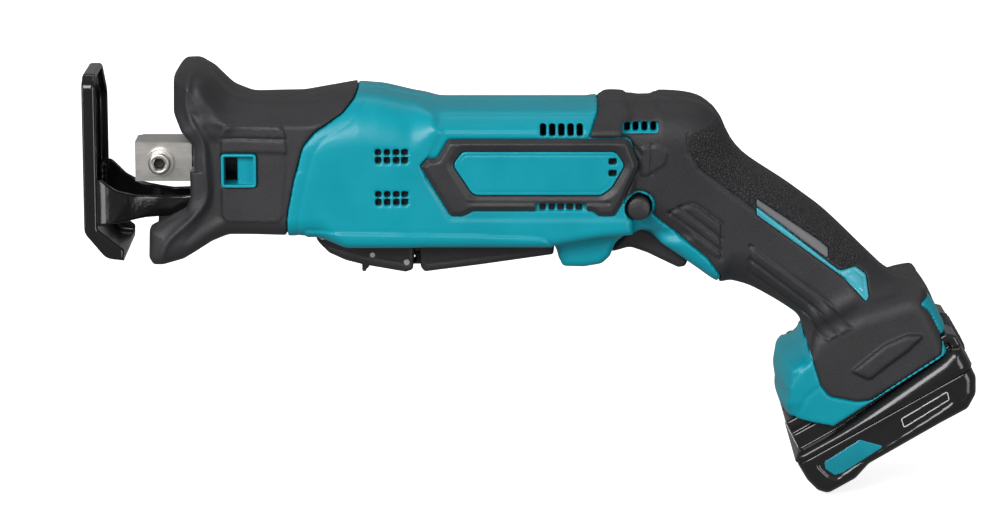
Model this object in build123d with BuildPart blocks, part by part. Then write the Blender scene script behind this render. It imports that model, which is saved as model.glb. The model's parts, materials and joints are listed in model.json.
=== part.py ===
from build123d import *
from math import cos, pi, radians, sin
import os

os.makedirs("parts", exist_ok=True)

# A compact battery reciprocating saw. Millimetres, +Z up, +X from the blade end to the battery.
# The origin is on the stroke axis, at the blade clamp's screw. Y = 0 is the parting plane.

# Driving dimensions
STROKE = 13.0
SPINDLE_R = 5.0
RUNNING = 0.05
CLEAR = 0.3
WALL = 2.4
SKIN = 1.6

BARREL_HALF = 29.0
BARREL_TOP = 23.5
BARREL_BOTTOM = -31.5
BULGE_TOP = 29.0
BULGE_HALF = 30.0
BOOT_HALF = 31.0

SHOE_FRONT = -28.8
SHOE_HALF = 26.0
SHOE_SHEET = 1.6
SHOE_PIVOT = (24.0, -17.0)

CRANK_X = 74.0
CRANK_R = STROKE / 2
CRANK_SHAFT_R = 3.5
CRANK_PIN_R = 2.5
ROLLER_TOP = -SPINDLE_R - CLEAR
GEAR_TEETH = 40
PINION_TEETH = 8
MODULE = 0.9
GEAR_PITCH_R = GEAR_TEETH * MODULE / 2
PINION_PITCH_R = PINION_TEETH * MODULE / 2
MOTOR_Z = -5.0
GEAR_PITCH_Z = MOTOR_Z - PINION_PITCH_R
GEAR_FLOOR_Z = GEAR_PITCH_Z - 1.2
MOTOR_R = 19.0
MOTOR_FRONT = 112.0
MOTOR_REAR = 165.0

PADDLE_HALF = 12.5
PADDLE_FRONT_PIVOT = (64.0, -29.0)
PADDLE_REAR_PIVOT = (152.0, -29.0)
LINK_PIN = (97.0, -39.6)
LINK_PIN_R = 1.15
LINK_SLOT_REACH = 2.0
LOCK_PIVOT = (83.5, -36.8)

TRIGGER_HALF = 8.0
TRIGGER_WAY = (0.62, 0, 0.785)
BUTTON_X = 188.0
BUTTON_Z = -15.5
BUTTON_R = 4.65

PACK_ANGLE = 30.0
PACK_HALF = 33.0
PACK_NECK_HALF = 28.5
CELL_R = 9.15
CELL_LENGTH = 65.0

SCREWS = [
    (84.0, 21.5, 22.0),
    (107.5, 18.0, 22.0),
    (178.0, 16.5, 20.0),
    (168.5, -36.5, 6.5),
    (214.0, -30.0, 12.0),
    (236.0, -44.5, 11.0),
    (252.0, -78.0, 22.0),
    (298.0, -56.0, 22.0),
]

# The pack's own frame: x along the pack, y away from its underside, z to the saw's left.
PACK_ALONG = (cos(radians(PACK_ANGLE)), 0, sin(radians(PACK_ANGLE)))
pack_plane = Plane(origin=(259.0, 0, -128.7), x_dir=PACK_ALONG, z_dir=(0, -1, 0))


def at(x, z, y=0.0):
    """A plane that faces the saw's left, with its origin at a point of the parting plane."""
    return Plane(origin=(x, y, z), x_dir=(1, 0, 0), z_dir=(0, -1, 0))


def side_prism(points, half, radius=0.0, plane=Plane.XZ):
    """A side outline with rounded corners, as thick as twice half, about the parting plane."""
    with BuildPart() as prism:
        with BuildSketch(plane) as outline:
            with BuildLine():
                Polyline(*points, close=True)
            make_face()
            if radius:
                fillet(outline.vertices(), radius)
        extrude(amount=half, both=True)
    return prism.part


def cross_rod(x, z, radius, y_low, y_high):
    """A round bar across the saw, from y_low to y_high."""
    with BuildPart() as rod:
        with BuildSketch(at(x, z, y_low)):
            Circle(radius)
        extrude(amount=y_low - y_high)
    return rod.part


def axial_rod(radius, x_low, x_high, z=0.0):
    """A round bar along the saw."""
    with BuildPart() as rod:
        with BuildSketch(Plane.YZ.offset(x_low)):
            with Locations((0, z)):
                Circle(radius)
        extrude(amount=x_high - x_low)
    return rod.part


def axial_ring(outer, inner, x_low, x_high, z=0.0):
    """A round ring about an axis along the saw."""
    with BuildPart() as ring:
        with BuildSketch(Plane.YZ.offset(x_low)):
            with Locations((0, z)):
                Circle(outer)
                Circle(inner, mode=Mode.SUBTRACT)
        extrude(amount=x_high - x_low)
    return ring.part


def block(low, high):
    """A box from its lowest to its highest corner."""
    with BuildPart() as box:
        with Locations(tuple((a + b) / 2 for a, b in zip(low, high))):
            Box(*[b - a for a, b in zip(low, high)])
    return box.part


# Forms that the shells share. Each takes how far its surface stands inside the outer one.


def barrel_form(inset):
    """The barrel: its side outline, cut to a rounded section that is fuller at the front."""
    outline = [
        (50, 25.5),
        (77.5, 29),
        (84, 29),
        (96, 27),
        (109, 23.5),
        (182, 23.5),
        (182, -26),
        (174, -27.5),
        (154, -31.5),
        (74, -31.5),
        (60, -26.5),
        (50, -26.5),
    ]
    with BuildPart() as form:
        with BuildSketch(Plane.XZ) as side:
            with BuildLine():
                Polyline(*outline, close=True)
            make_face()
            offset(amount=-inset, kind=Kind.INTERSECTION)
        extrude(amount=40, both=True)
        with BuildSketch(Plane.YZ.offset(49)) as front_section:
            with Locations((0, (BULGE_TOP + BARREL_BOTTOM) / 2)):
                RectangleRounded(
                    2 * (BULGE_HALF - inset), BULGE_TOP - BARREL_BOTTOM - 2 * inset, 20 - inset
                )
        with BuildSketch(Plane.YZ.offset(107)) as rear_section:
            with Locations((0, (BARREL_TOP + BARREL_BOTTOM) / 2)):
                RectangleRounded(
                    2 * (BARREL_HALF - inset), BARREL_TOP - BARREL_BOTTOM - 2 * inset, 18 - inset
                )
        envelope = extrude(front_section.sketch, amount=58, mode=Mode.PRIVATE) + extrude(
            rear_section.sketch, amount=76, mode=Mode.PRIVATE
        )
        add(envelope, mode=Mode.INTERSECT)
    return form.part


def nose_form(inset):
    """The nose under the boot: a rounded box that the barrel's front end carries."""
    with BuildPart() as form:
        with BuildSketch(Plane.YZ.offset(15 + inset)):
            with Locations((0, -2)):
                RectangleRounded(2 * (25 - inset), 2 * (22.5 - inset), 14 - inset)
        extrude(amount=45 - inset)
    return form.part


def collar_form(inset):
    """The stretch between the nose and the barrel, under the boot's trailing edge."""
    with BuildPart() as form:
        with BuildSketch(Plane.YZ.offset(44)):
            with Locations((0, -1.75)):
                RectangleRounded(2 * (27 - inset), 2 * (24.75 - inset), 15 - inset)
        extrude(amount=39)
    return form.part


def handle_form(inset):
    """The handle: a loft through rounded sections from the barrel's rear to the foot."""
    stations = [
        ((176, -1), 0, 51, 50),
        ((200, -1), 5, 52, 46),
        ((219, -14), 15, 52, 39),
        ((241, -31), 27, 43, 36),
        ((262, -47), 37, 38, 36),
        ((282, -66), 44, 40, 40),
    ]
    with BuildPart() as form:
        for (x, z), lean, depth, width in stations:
            ahead = (cos(radians(lean)), 0, -sin(radians(lean)))
            with BuildSketch(Plane(origin=(x, 0, z), x_dir=(0, 1, 0), z_dir=ahead)):
                corner = min(depth, width) * 0.4
                RectangleRounded(width - 2 * inset, depth - 2 * inset, corner - inset)
        loft()
    return form.part


def foot_form(inset):
    """The battery hood at the foot of the handle, in the pack's frame."""
    outline = [
        (6.5, 31),
        (7, 40),
        (11, 50),
        (17, 56),
        (30, 55),
        (60, 50),
        (75, 48),
        (76.5, 43),
        (74.5, 26),
        (20, 18.5),
    ]
    with BuildPart() as form:
        with BuildSketch(pack_plane) as side:
            with BuildLine():
                Polyline(*outline, close=True)
            make_face()
            offset(amount=-inset, kind=Kind.INTERSECTION)
            fillet(side.vertices(), 1.2)
        extrude(amount=PACK_HALF - 0.5 - inset, both=True)
        ends = form.faces().sort_by(Axis.Y)
        chamfer(ends[0].edges() + ends[-1].edges(), 1.0)
    return form.part


def guard_form():
    """The short horn under the barrel's rear end, in front of the trigger."""
    outline = [
        (150, -26),
        (155.6, -32),
        (157, -36),
        (159.5, -40.3),
        (167, -40.9),
        (174, -39.7),
        (177, -37),
        (179, -31.5),
        (184, -26.5),
        (190, -24),
        (180, -15),
        (156, -15),
    ]
    return side_prism(outline, 11.0, 1.0)


# Spaces that the shells leave free.


def battery_way():
    """The room under the hood that the pack's neck slides through, open at both ends."""
    with BuildPart() as way:
        with BuildSketch(pack_plane):
            with BuildLine():
                Polyline((-20, -10), (100, -10), (100, 31), (-20, 31), close=True)
            make_face()
        extrude(amount=PACK_NECK_HALF + 0.5, both=True)
    return way.part


def paddle_way():
    """The slot along the barrel's underside for the paddle levers."""
    outline = [(57, -60), (57, -27.7), (70, -26.2), (100, -25.4), (156.2, -27.2), (156.2, -60)]
    return side_prism(outline, PADDLE_HALF + 0.7)


def trigger_way():
    """The pocket that the trigger is pulled into."""
    outline = [
        (176, -46),
        (179.6, -32),
        (183.5, -27),
        (187, -14),
        (198, -14),
        (221, -32),
        (213, -60),
        (176, -60),
    ]
    return side_prism(outline, TRIGGER_HALF + 0.6)


def button_way():
    """The pocket in the pack's rear end that the release button moves in."""
    with BuildPart() as way:
        with BuildSketch(pack_plane):
            with Locations((77.5, 20.75)):
                Rectangle(8, 19.6)
        extrude(amount=10.4, both=True)
    return way.part


def mouth_way():
    """The mouth of the boot and the nose, where the clamp and the shoe's arms go in."""
    with BuildPart() as way:
        add(block((-40, -12.5, -28), (22.2, 12.5, 12.5)))
        add(block((-40, -20, -33), (14.5, 20, 14)))
        add(block((14, -12.5, -23.6), (33, 12.5, -11)))
        add(cross_rod(SHOE_PIVOT[0], SHOE_PIVOT[1], 6.6, -12.5, 12.5))
    return way.part


# The shells: two housing halves with ribs and screw bosses, the boot and the grip overmould.

with BuildPart() as teal_outer:
    add(barrel_form(0))
    add(nose_form(0))
    add(handle_form(SKIN))
    add(foot_form(0))
    add(guard_form())

boot_side = [
    (50, 40),
    (79, 40),
    (76, 26),
    (70, 19),
    (59, 12),
    (54, -5),
    (50, -40),
    (-40, -40),
    (-40, 60),
]
with BuildPart() as rubber_zone:
    add(side_prism(boot_side, 50))

with BuildPart() as barrel_behind_boot:
    add(teal_outer.part)
    add(rubber_zone.part, mode=Mode.SUBTRACT)
    add(nose_form(0))
    add(collar_form(0))

with BuildPart() as hollow:
    add(barrel_form(WALL))
    add(rubber_zone.part, mode=Mode.SUBTRACT)
    add(handle_form(SKIN + WALL))
    add(nose_form(WALL))
    add(collar_form(WALL))

with BuildPart() as foot_hollow:
    with BuildSketch(pack_plane):
        with BuildLine():
            Polyline((13, 33.4), (16, 48), (62, 46), (70, 44), (72, 33.4), close=True)
        make_face()
    extrude(amount=PACK_HALF - 0.5 - WALL, both=True)

with BuildPart() as gear_case_room:
    add(block((45.8, -24.1, -25.3), (104.2, 24.1, 13.1)))
    add(axial_rod(10.1, 20, 60))

with BuildPart() as machine_room:
    add(gear_case_room.part)
    add(axial_rod(MOTOR_R + RUNNING, 104, 176, MOTOR_Z))

with BuildPart() as ribs:
    add(hollow.part)
    rib_places = [(26, 29), (58, 61), (94, 97), (124, 127), (152, 155)]
    rib_slabs = Part() + [block((a, -40, -40), (b, 40, 40)) for a, b in rib_places]
    add(rib_slabs, mode=Mode.INTERSECT)
    add(machine_room.part, mode=Mode.SUBTRACT)

with BuildPart() as bosses:
    for x, z, _ in SCREWS:
        add(cross_rod(x, z, 3.6, -40, 40))
    add(teal_outer.part, mode=Mode.INTERSECT)
    add(machine_room.part, mode=Mode.SUBTRACT)


def screw_holes():
    """Pilot holes and head recesses of the housing screws, which enter from the right."""
    with BuildPart() as holes:
        for x, z, seat in SCREWS:
            add(cross_rod(x, z, 1.55, -seat + 4, 40))
            add(cross_rod(x, z, 3.05, seat - 2.6, 40))
    return holes.part


with BuildPart() as both_halves:
    add(barrel_behind_boot.part)
    add(hollow.part, mode=Mode.SUBTRACT)
    add(foot_hollow.part, mode=Mode.SUBTRACT)
    add(ribs.part)
    add(bosses.part)
    add(gear_case_room.part, mode=Mode.SUBTRACT)
    add(mouth_way(), mode=Mode.SUBTRACT)
    add(paddle_way(), mode=Mode.SUBTRACT)
    add(trigger_way(), mode=Mode.SUBTRACT)
    add(battery_way(), mode=Mode.SUBTRACT)
    add(screw_holes(), mode=Mode.SUBTRACT)
    with BuildSketch(pack_plane):
        with Locations((26, 32)):
            Rectangle(16.2, 4)
    extrude(amount=13.1, both=True, mode=Mode.SUBTRACT)
    add(cross_rod(BUTTON_X, BUTTON_Z, BUTTON_R + 0.1, -40, 40), mode=Mode.SUBTRACT)

with BuildPart() as housing_left:
    add(both_halves.part)
    split(bisect_by=Plane.XZ, keep=Keep.TOP)
housing_left.part.label = "housing_left"
export_step(housing_left.part, "parts/housing_left.step")

with BuildPart() as housing_right:
    add(both_halves.part)
    split(bisect_by=Plane.XZ, keep=Keep.BOTTOM)
housing_right.part.label = "housing_right"
export_step(housing_right.part, "parts/housing_right.step")

with BuildPart() as screw_ways:
    for x, z, seat in SCREWS:
        add(cross_rod(x, z, 3.4, seat - 2.6, 40))

with BuildPart() as overmould:
    add(handle_form(0))
    add(foot_form(0))
    add(teal_outer.part, mode=Mode.SUBTRACT)
    add(block((160, -40, -140), (181, 40, 40)), mode=Mode.SUBTRACT)
    add(trigger_way(), mode=Mode.SUBTRACT)
    add(battery_way(), mode=Mode.SUBTRACT)
    add(screw_ways.part, mode=Mode.SUBTRACT)
    add(cross_rod(BUTTON_X, BUTTON_Z, BUTTON_R + 0.9, -40, 40), mode=Mode.SUBTRACT)

with BuildPart() as grip_overmould_left:
    add(overmould.part)
    split(bisect_by=Plane.XZ, keep=Keep.TOP)
grip_overmould_left.part.label = "grip_overmould_left"
export_step(grip_overmould_left.part, "parts/grip_overmould_left.step")

with BuildPart() as grip_overmould_right:
    add(overmould.part)
    split(bisect_by=Plane.XZ, keep=Keep.BOTTOM)
grip_overmould_right.part.label = "grip_overmould_right"
export_step(grip_overmould_right.part, "parts/grip_overmould_right.step")

boot_outline = [
    (6, 35),
    (9, 38.5),
    (14, 38.5),
    (20, 36),
    (28, 29),
    (35, 25.5),
    (55, 25.8),
    (79, 29.5),
    (76, 26),
    (70, 19.5),
    (59, 12),
    (54, -5),
    (50, -28),
    (27, -27.5),
    (23.5, -28.5),
    (10, -37),
    (2, -39),
    (-1.5, -39),
    (-3.5, -36),
    (-3, -23),
    (11.5, -16),
    (13, -10),
    (12.5, 8),
    (8.5, 13.5),
    (5.5, 20),
]
with BuildPart() as front_boot:
    add(side_prism(boot_outline, BOOT_HALF))
    with BuildSketch(Plane.YZ.offset(-5)) as boot_section:
        RectangleRounded(2 * BOOT_HALF, 79, 17)
    extrude(amount=86, mode=Mode.INTERSECT)
    add(barrel_behind_boot.part, mode=Mode.SUBTRACT)
    add(nose_form(WALL), mode=Mode.SUBTRACT)
    add(collar_form(WALL), mode=Mode.SUBTRACT)
    add(gear_case_room.part, mode=Mode.SUBTRACT)
    add(mouth_way(), mode=Mode.SUBTRACT)
    with BuildSketch(at(32, 0, -40)):
        RectangleRounded(14, 13.5, 1.2)
    extrude(amount=-80, mode=Mode.SUBTRACT)
front_boot.part.label = "front_boot"
export_step(front_boot.part, "parts/front_boot.step")

badge_outline = [
    (103, 2),
    (110, 12),
    (114.5, 13),
    (184, 13),
    (187.5, 2),
    (184, -12),
    (178, -17.5),
    (172, -17.5),
    (170, -15.8),
    (124, -15.8),
    (119, -17.5),
    (114.5, -17.5),
]
with BuildPart() as badge_panel:
    with BuildSketch(Plane.XZ.offset(BARREL_HALF)) as badge_sketch:
        with BuildLine():
            Polyline(*badge_outline, close=True)
        make_face()
        fillet(badge_sketch.vertices(), 0.8)
    extrude(amount=2.2)
    add(teal_outer.part, mode=Mode.SUBTRACT)
badge_panel.part.label = "badge_panel"
export_step(badge_panel.part, "parts/badge_panel.step")

with BuildPart() as housing_screws:
    for x, z, seat in SCREWS:
        add(cross_rod(x, z, 1.5, -seat + 5, seat - 2.5))
        add(cross_rod(x, z, 2.9, seat - 2.5, seat - 0.3))
    for x, z, seat in SCREWS:
        with BuildSketch(Plane.XZ.offset(-seat + 1.4)):
            with Locations((x, z)):
                RegularPolygon(1.2, 6)
        extrude(amount=-3, mode=Mode.SUBTRACT)
housing_screws.part.label = "housing_screws"
export_step(housing_screws.part, "parts/housing_screws.step")

# Gear case: a die-cast box with a snout for the spindle's bushes, and its cover.

GEAR_CASE_TOP = 10.0
COVER_SCREWS = [(x, y) for x in (47.8, 101.0) for y in (-22.3, 22.3)]
BUSH_R = 7.0
with BuildPart() as gear_case:
    add(block((46, -24, -25.2), (104, 24, GEAR_CASE_TOP)))
    add(block((49.5, -21.2, -24), (98, 21.2, 20)), mode=Mode.SUBTRACT)
    add(axial_rod(10, 22.5, 53))
    with BuildSketch(Plane.XY.offset(-24)):
        with Locations((CRANK_X, 0)):
            Circle(10.5)
    extrude(amount=8)
    with BuildSketch(Plane.XY.offset(-22.5)):
        with Locations((CRANK_X, 0)):
            Circle(8)
    extrude(amount=10, mode=Mode.SUBTRACT)
    with BuildSketch(Plane.XY.offset(-25)):
        with Locations((CRANK_X, 0)):
            Circle(5)
    extrude(amount=10, mode=Mode.SUBTRACT)
    add(axial_rod(BUSH_R, 22, 58), mode=Mode.SUBTRACT)
    add(axial_rod(6, 97, 105, MOTOR_Z), mode=Mode.SUBTRACT)
    add(axial_rod(BUSH_R, 98.4, 105, MOTOR_Z), mode=Mode.SUBTRACT)
    for x, y in COVER_SCREWS:
        with BuildSketch(Plane.XY.offset(0)):
            with Locations((x, y)):
                Circle(1.25)
        extrude(amount=GEAR_CASE_TOP, mode=Mode.SUBTRACT)
gear_case.part.label = "gear_case"
export_step(gear_case.part, "parts/gear_case.step")

with BuildPart() as gear_case_cover:
    add(block((46, -24, GEAR_CASE_TOP), (104, 24, GEAR_CASE_TOP + 2)))
    add(block((49.6, -21, GEAR_CASE_TOP - 1.5), (97.9, 21, GEAR_CASE_TOP)))
    for x, y in COVER_SCREWS:
        with BuildSketch(Plane.XY.offset(GEAR_CASE_TOP - 1)):
            with Locations((x, y)):
                Circle(1.25)
        extrude(amount=4, mode=Mode.SUBTRACT)
    add(axial_rod(10.05, 20, 53.1), mode=Mode.SUBTRACT)
gear_case_cover.part.label = "gear_case_cover"
export_step(gear_case_cover.part, "parts/gear_case_cover.step")

with BuildPart() as cover_screws:
    for x, y in COVER_SCREWS:
        with BuildSketch(Plane.XY.offset(GEAR_CASE_TOP - 8)):
            with Locations((x, y)):
                Circle(1.2)
        extrude(amount=10)
        with BuildSketch(Plane.XY.offset(GEAR_CASE_TOP + 2)):
            with Locations((x, y)):
                Circle(1.6)
        extrude(amount=1)
cover_screws.part.label = "cover_screws"
export_step(cover_screws.part, "parts/cover_screws.step")

with BuildPart() as spindle_bushes:
    add(axial_ring(BUSH_R, SPINDLE_R + RUNNING, 24, 34))
    add(axial_ring(BUSH_R, SPINDLE_R + RUNNING, 43, 53))
spindle_bushes.part.label = "spindle_bushes"
export_step(spindle_bushes.part, "parts/spindle_bushes.step")

with BuildPart() as dust_seal:
    add(axial_ring(BUSH_R, SPINDLE_R + RUNNING, 22.6, 24))
dust_seal.part.label = "dust_seal"
export_step(dust_seal.part, "parts/dust_seal.step")

# Spindle with its yoke, and the blade clamp.

with BuildPart() as spindle:
    add(axial_rod(SPINDLE_R, 12.5, 66))
    add(block((65, -11.5, -SPINDLE_R), (83, 11.5, 5)))
    add(block((69.7, -10, -6), (78.3, 10, 6)), mode=Mode.SUBTRACT)
    add(cross_rod(40, 0, 1.5, -20, 20), mode=Mode.SUBTRACT)
spindle.part.label = "spindle"
export_step(spindle.part, "parts/spindle.step")

with BuildPart() as blade_clamp:
    add(block((-9.8, -9, -7.7), (12.5, 7.5, 8)))
    chamfer(blade_clamp.edges().filter_by(Axis.X).group_by(Axis.Z)[-1], 0.4)
    add(block((-8.2, 7.5, -6), (9, 9, 8)))
    add(block((-12, -1.5, -4.2), (9, -0.3, 4.2)), mode=Mode.SUBTRACT)
    add(cross_rod(0, 0, 5.4, -11, -9))
    add(cross_rod(0, 0, 4.35, -12, -0.3), mode=Mode.SUBTRACT)
blade_clamp.part.label = "blade_clamp"
export_step(blade_clamp.part, "parts/blade_clamp.step")

with BuildPart() as clamp_screw:
    add(cross_rod(0, 0, 4.3, -14.5, -1.8))
    chamfer(clamp_screw.faces().sort_by(Axis.Y)[0].edges(), 0.5)
    with BuildSketch(Plane.XZ.offset(14.5)):
        RegularPolygon(2.4, 6)
    extrude(amount=-5, mode=Mode.SUBTRACT)
clamp_screw.part.label = "clamp_screw"
export_step(clamp_screw.part, "parts/clamp_screw.step")

# Crank: a face gear on a vertical shaft, with an eccentric pin under the yoke.


def wedge_teeth(count, radius_low, radius_high, root, tip, width_root, width_tip):
    """Radial straight teeth on a face, from root to tip height, about the crank's axis."""
    with BuildPart() as teeth:
        with BuildSketch(Plane.YZ.offset(radius_low)) as tooth_low:
            with BuildLine():
                Polyline(
                    (-width_root / 2, root),
                    (width_root / 2, root),
                    (width_tip / 2, tip),
                    (-width_tip / 2, tip),
                    close=True,
                )
            make_face()
        extrude(amount=radius_high - radius_low)
    ring = [teeth.part.rotate(Axis.Z, 360 * i / count) for i in range(count)]
    return [Pos(CRANK_X, 0, 0) * tooth for tooth in ring]


PITCH = pi * MODULE
with BuildPart() as crank_gear:
    with BuildSketch(Plane.XY.offset(-15)):
        with Locations((CRANK_X, 0)):
            Circle(GEAR_PITCH_R + 2.4)
            Circle(CRANK_SHAFT_R, mode=Mode.SUBTRACT)
    extrude(amount=GEAR_FLOOR_Z + 15)
    for tooth in wedge_teeth(
        GEAR_TEETH,
        GEAR_PITCH_R - 2.2,
        GEAR_PITCH_R + 2.0,
        GEAR_FLOOR_Z - 0.5,
        GEAR_PITCH_Z + 0.7,
        0.5 * PITCH,
        0.22 * PITCH,
    ):
        add(tooth)
    with BuildSketch(Plane.XY.offset(-15)):
        with Locations((CRANK_X, CRANK_R)):
            Circle(CRANK_PIN_R)
    extrude(amount=10, mode=Mode.SUBTRACT)
crank_gear.part.label = "crank_gear"
export_step(crank_gear.part, "parts/crank_gear.step")

with BuildPart() as crank_shaft:
    with BuildSketch(Plane.XY.offset(-23.5)):
        with Locations((CRANK_X, 0)):
            Circle(CRANK_SHAFT_R)
    extrude(amount=23.5 + GEAR_FLOOR_Z)
crank_shaft.part.label = "crank_shaft"
export_step(crank_shaft.part, "parts/crank_shaft.step")

with BuildPart() as crank_pin:
    with BuildSketch(Plane.XY.offset(-15)):
        with Locations((CRANK_X, CRANK_R)):
            Circle(CRANK_PIN_R)
    extrude(amount=15 + ROLLER_TOP)
crank_pin.part.label = "crank_pin"
export_step(crank_pin.part, "parts/crank_pin.step")

with BuildPart() as crank_roller:
    with BuildSketch(Plane.XY.offset(GEAR_FLOOR_Z + 0.1)):
        with Locations((CRANK_X, CRANK_R)):
            Circle(4)
            Circle(CRANK_PIN_R + RUNNING, mode=Mode.SUBTRACT)
    extrude(amount=ROLLER_TOP - GEAR_FLOOR_Z - 0.1)
crank_roller.part.label = "crank_roller"
export_step(crank_roller.part, "parts/crank_roller.step")

with BuildPart() as crank_bearing:
    with BuildSketch(Plane.XY.offset(-22.5)):
        with Locations((CRANK_X, 0)):
            Circle(8)
            Circle(CRANK_SHAFT_R + RUNNING, mode=Mode.SUBTRACT)
    extrude(amount=6)
crank_bearing.part.label = "crank_bearing"
export_step(crank_bearing.part, "parts/crank_bearing.step")

# Motor.

SHAFT_R = 2.5
with BuildPart() as motor_can:
    add(axial_rod(MOTOR_R, MOTOR_FRONT, MOTOR_REAR, MOTOR_Z))
    add(axial_rod(MOTOR_R - 1.6, MOTOR_FRONT + 1.6, MOTOR_REAR + 1, MOTOR_Z), mode=Mode.SUBTRACT)
    add(axial_rod(8, MOTOR_FRONT - 1, MOTOR_REAR, MOTOR_Z), mode=Mode.SUBTRACT)
motor_can.part.label = "motor_can"
export_step(motor_can.part, "parts/motor_can.step")

with BuildPart() as motor_magnets:
    add(axial_ring(MOTOR_R - 1.6, 14.6, MOTOR_FRONT + 6, 152, MOTOR_Z))
    add(block((100, -5, -40), (170, 5, 40)), mode=Mode.SUBTRACT)
motor_magnets.part.label = "motor_magnets"
export_step(motor_magnets.part, "parts/motor_magnets.step")

with BuildPart() as end_bell:
    add(axial_ring(MOTOR_R, BUSH_R, MOTOR_REAR, MOTOR_REAR + 6, MOTOR_Z))
    add(axial_rod(MOTOR_R, MOTOR_REAR + 6, MOTOR_REAR + 7.5, MOTOR_Z))
end_bell.part.label = "end_bell"
export_step(end_bell.part, "parts/end_bell.step")

with BuildPart() as motor_bearings:
    add(axial_ring(BUSH_R, SHAFT_R + RUNNING, 98.5, 103.5, MOTOR_Z))
    add(axial_ring(BUSH_R, SHAFT_R + RUNNING, MOTOR_REAR + 1, MOTOR_REAR + 5.5, MOTOR_Z))
motor_bearings.part.label = "motor_bearings"
export_step(motor_bearings.part, "parts/motor_bearings.step")

BRUSH_X = 160.0
BRUSH_HALF = 2.5


def brush_block(side, y_near, y_far, half, x_extra=0.0):
    """A block beside the commutator on one side of the saw, as a brush or its holder needs."""
    y_low, y_high = sorted((side * y_near, side * y_far))
    return block(
        (BRUSH_X - half, y_low, MOTOR_Z - half), (BRUSH_X + half + x_extra, y_high, MOTOR_Z + half)
    )


with BuildPart() as carbon_brushes:
    for side in (-1, 1):
        add(brush_block(side, 5.5, 12, BRUSH_HALF))
    add(axial_rod(6 + RUNNING, 150, 170, MOTOR_Z), mode=Mode.SUBTRACT)
carbon_brushes.part.label = "carbon_brushes"
export_step(carbon_brushes.part, "parts/carbon_brushes.step")

with BuildPart() as brush_holders:
    for side in (-1, 1):
        add(brush_block(side, 7.5, 14.5, 4, 1))
        add(brush_block(side, 5, 12, BRUSH_HALF), mode=Mode.SUBTRACT)
brush_holders.part.label = "brush_holders"
export_step(brush_holders.part, "parts/brush_holders.step")

with BuildPart() as armature_shaft:
    add(axial_rod(SHAFT_R, 95.4, MOTOR_REAR + 5, MOTOR_Z))
armature_shaft.part.label = "armature_shaft"
export_step(armature_shaft.part, "parts/armature_shaft.step")

SLOTS = 7
with BuildPart() as armature_core:
    add(axial_ring(13.9, SHAFT_R, 121, 149, MOTOR_Z))
    with BuildSketch(Plane.YZ.offset(120)):
        with Locations((0, MOTOR_Z)):
            with PolarLocations(12, SLOTS):
                Rectangle(7, 1.6)
    extrude(amount=30, mode=Mode.SUBTRACT)
armature_core.part.label = "armature_core"
export_step(armature_core.part, "parts/armature_core.step")

with BuildPart() as commutator:
    add(axial_ring(6, SHAFT_R, 154, 164.5, MOTOR_Z))
commutator.part.label = "commutator"
export_step(commutator.part, "parts/commutator.step")

BLADES = 9
with BuildPart() as cooling_fan:
    add(axial_ring(5, SHAFT_R, 105.5, 111, MOTOR_Z))
    add(axial_ring(15.5, SHAFT_R, 109.8, 111, MOTOR_Z))
    with BuildSketch(Plane.YZ.offset(105.5)):
        with Locations((0, MOTOR_Z)):
            with PolarLocations(10, BLADES):
                Rectangle(10.6, 1.2)
    extrude(amount=5)
cooling_fan.part.label = "cooling_fan"
export_step(cooling_fan.part, "parts/cooling_fan.step")

with BuildPart() as pinion:
    add(axial_rod(PINION_PITCH_R - 1.1, 89.8, 95.4, MOTOR_Z))
    with BuildSketch(Plane.YZ.offset(89.8)):
        with Locations((0, MOTOR_Z)):
            with PolarLocations(0, PINION_TEETH, start_angle=-90 + 180 / PINION_TEETH):
                Polygon(
                    (PINION_PITCH_R - 1.4, -0.22 * PITCH),
                    (PINION_PITCH_R + 0.7, -0.1 * PITCH),
                    (PINION_PITCH_R + 0.7, 0.1 * PITCH),
                    (PINION_PITCH_R - 1.4, 0.22 * PITCH),
                    align=None,
                )
    extrude(amount=5.6)
pinion.part.label = "pinion"
export_step(pinion.part, "parts/pinion.step")

# Switch gear in the handle.

with BuildPart() as trigger_switch:
    add(block((200, -8, -13.5), (222, 8, 6)))
    with BuildSketch(at(204, -13.5, 8)):
        Circle(2)
    extrude(amount=16, mode=Mode.SUBTRACT)
trigger_switch.part.label = "trigger_switch"
export_step(trigger_switch.part, "parts/trigger_switch.step")

with BuildPart() as controller_board:
    add(side_prism([(236, -24), (254, -38), (252.8, -39.6), (234.8, -25.6)], 11))
controller_board.part.label = "controller_board"
export_step(controller_board.part, "parts/controller_board.step")

with BuildPart() as terminal_block:
    with BuildSketch(pack_plane):
        with Locations((26, 35)):
            Rectangle(16, 7)
    extrude(amount=13, both=True)
terminal_block.part.label = "terminal_block"
export_step(terminal_block.part, "parts/terminal_block.step")

CONTACT_PITCH = 8.0
CONTACTS = (-CONTACT_PITCH, 0, CONTACT_PITCH)
with BuildPart() as contact_blades:
    for y in CONTACTS:
        with BuildSketch(pack_plane.offset(y)):
            with Locations((26, 29)):
                Rectangle(10, 5)
        extrude(amount=0.4, both=True)
contact_blades.part.label = "contact_blades"
export_step(contact_blades.part, "parts/contact_blades.step")

# Trigger, its spring and the cross-bolt lock button.

trigger_outline = [
    (177.6, -36.6),
    (180, -36),
    (185, -34.6),
    (192, -37),
    (204.5, -43),
    (207, -42.6),
    (208.5, -40.2),
    (203.5, -34),
    (192.5, -26),
    (187, -26.2),
    (182.5, -29.5),
]
with BuildPart() as trigger:
    add(side_prism(trigger_outline, TRIGGER_HALF, 0.5))
    add(side_prism([(190, -28), (198, -34), (204, -27), (197, -21)], 3.0))
trigger.part.label = "trigger"
export_step(trigger.part, "parts/trigger.step")

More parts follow.
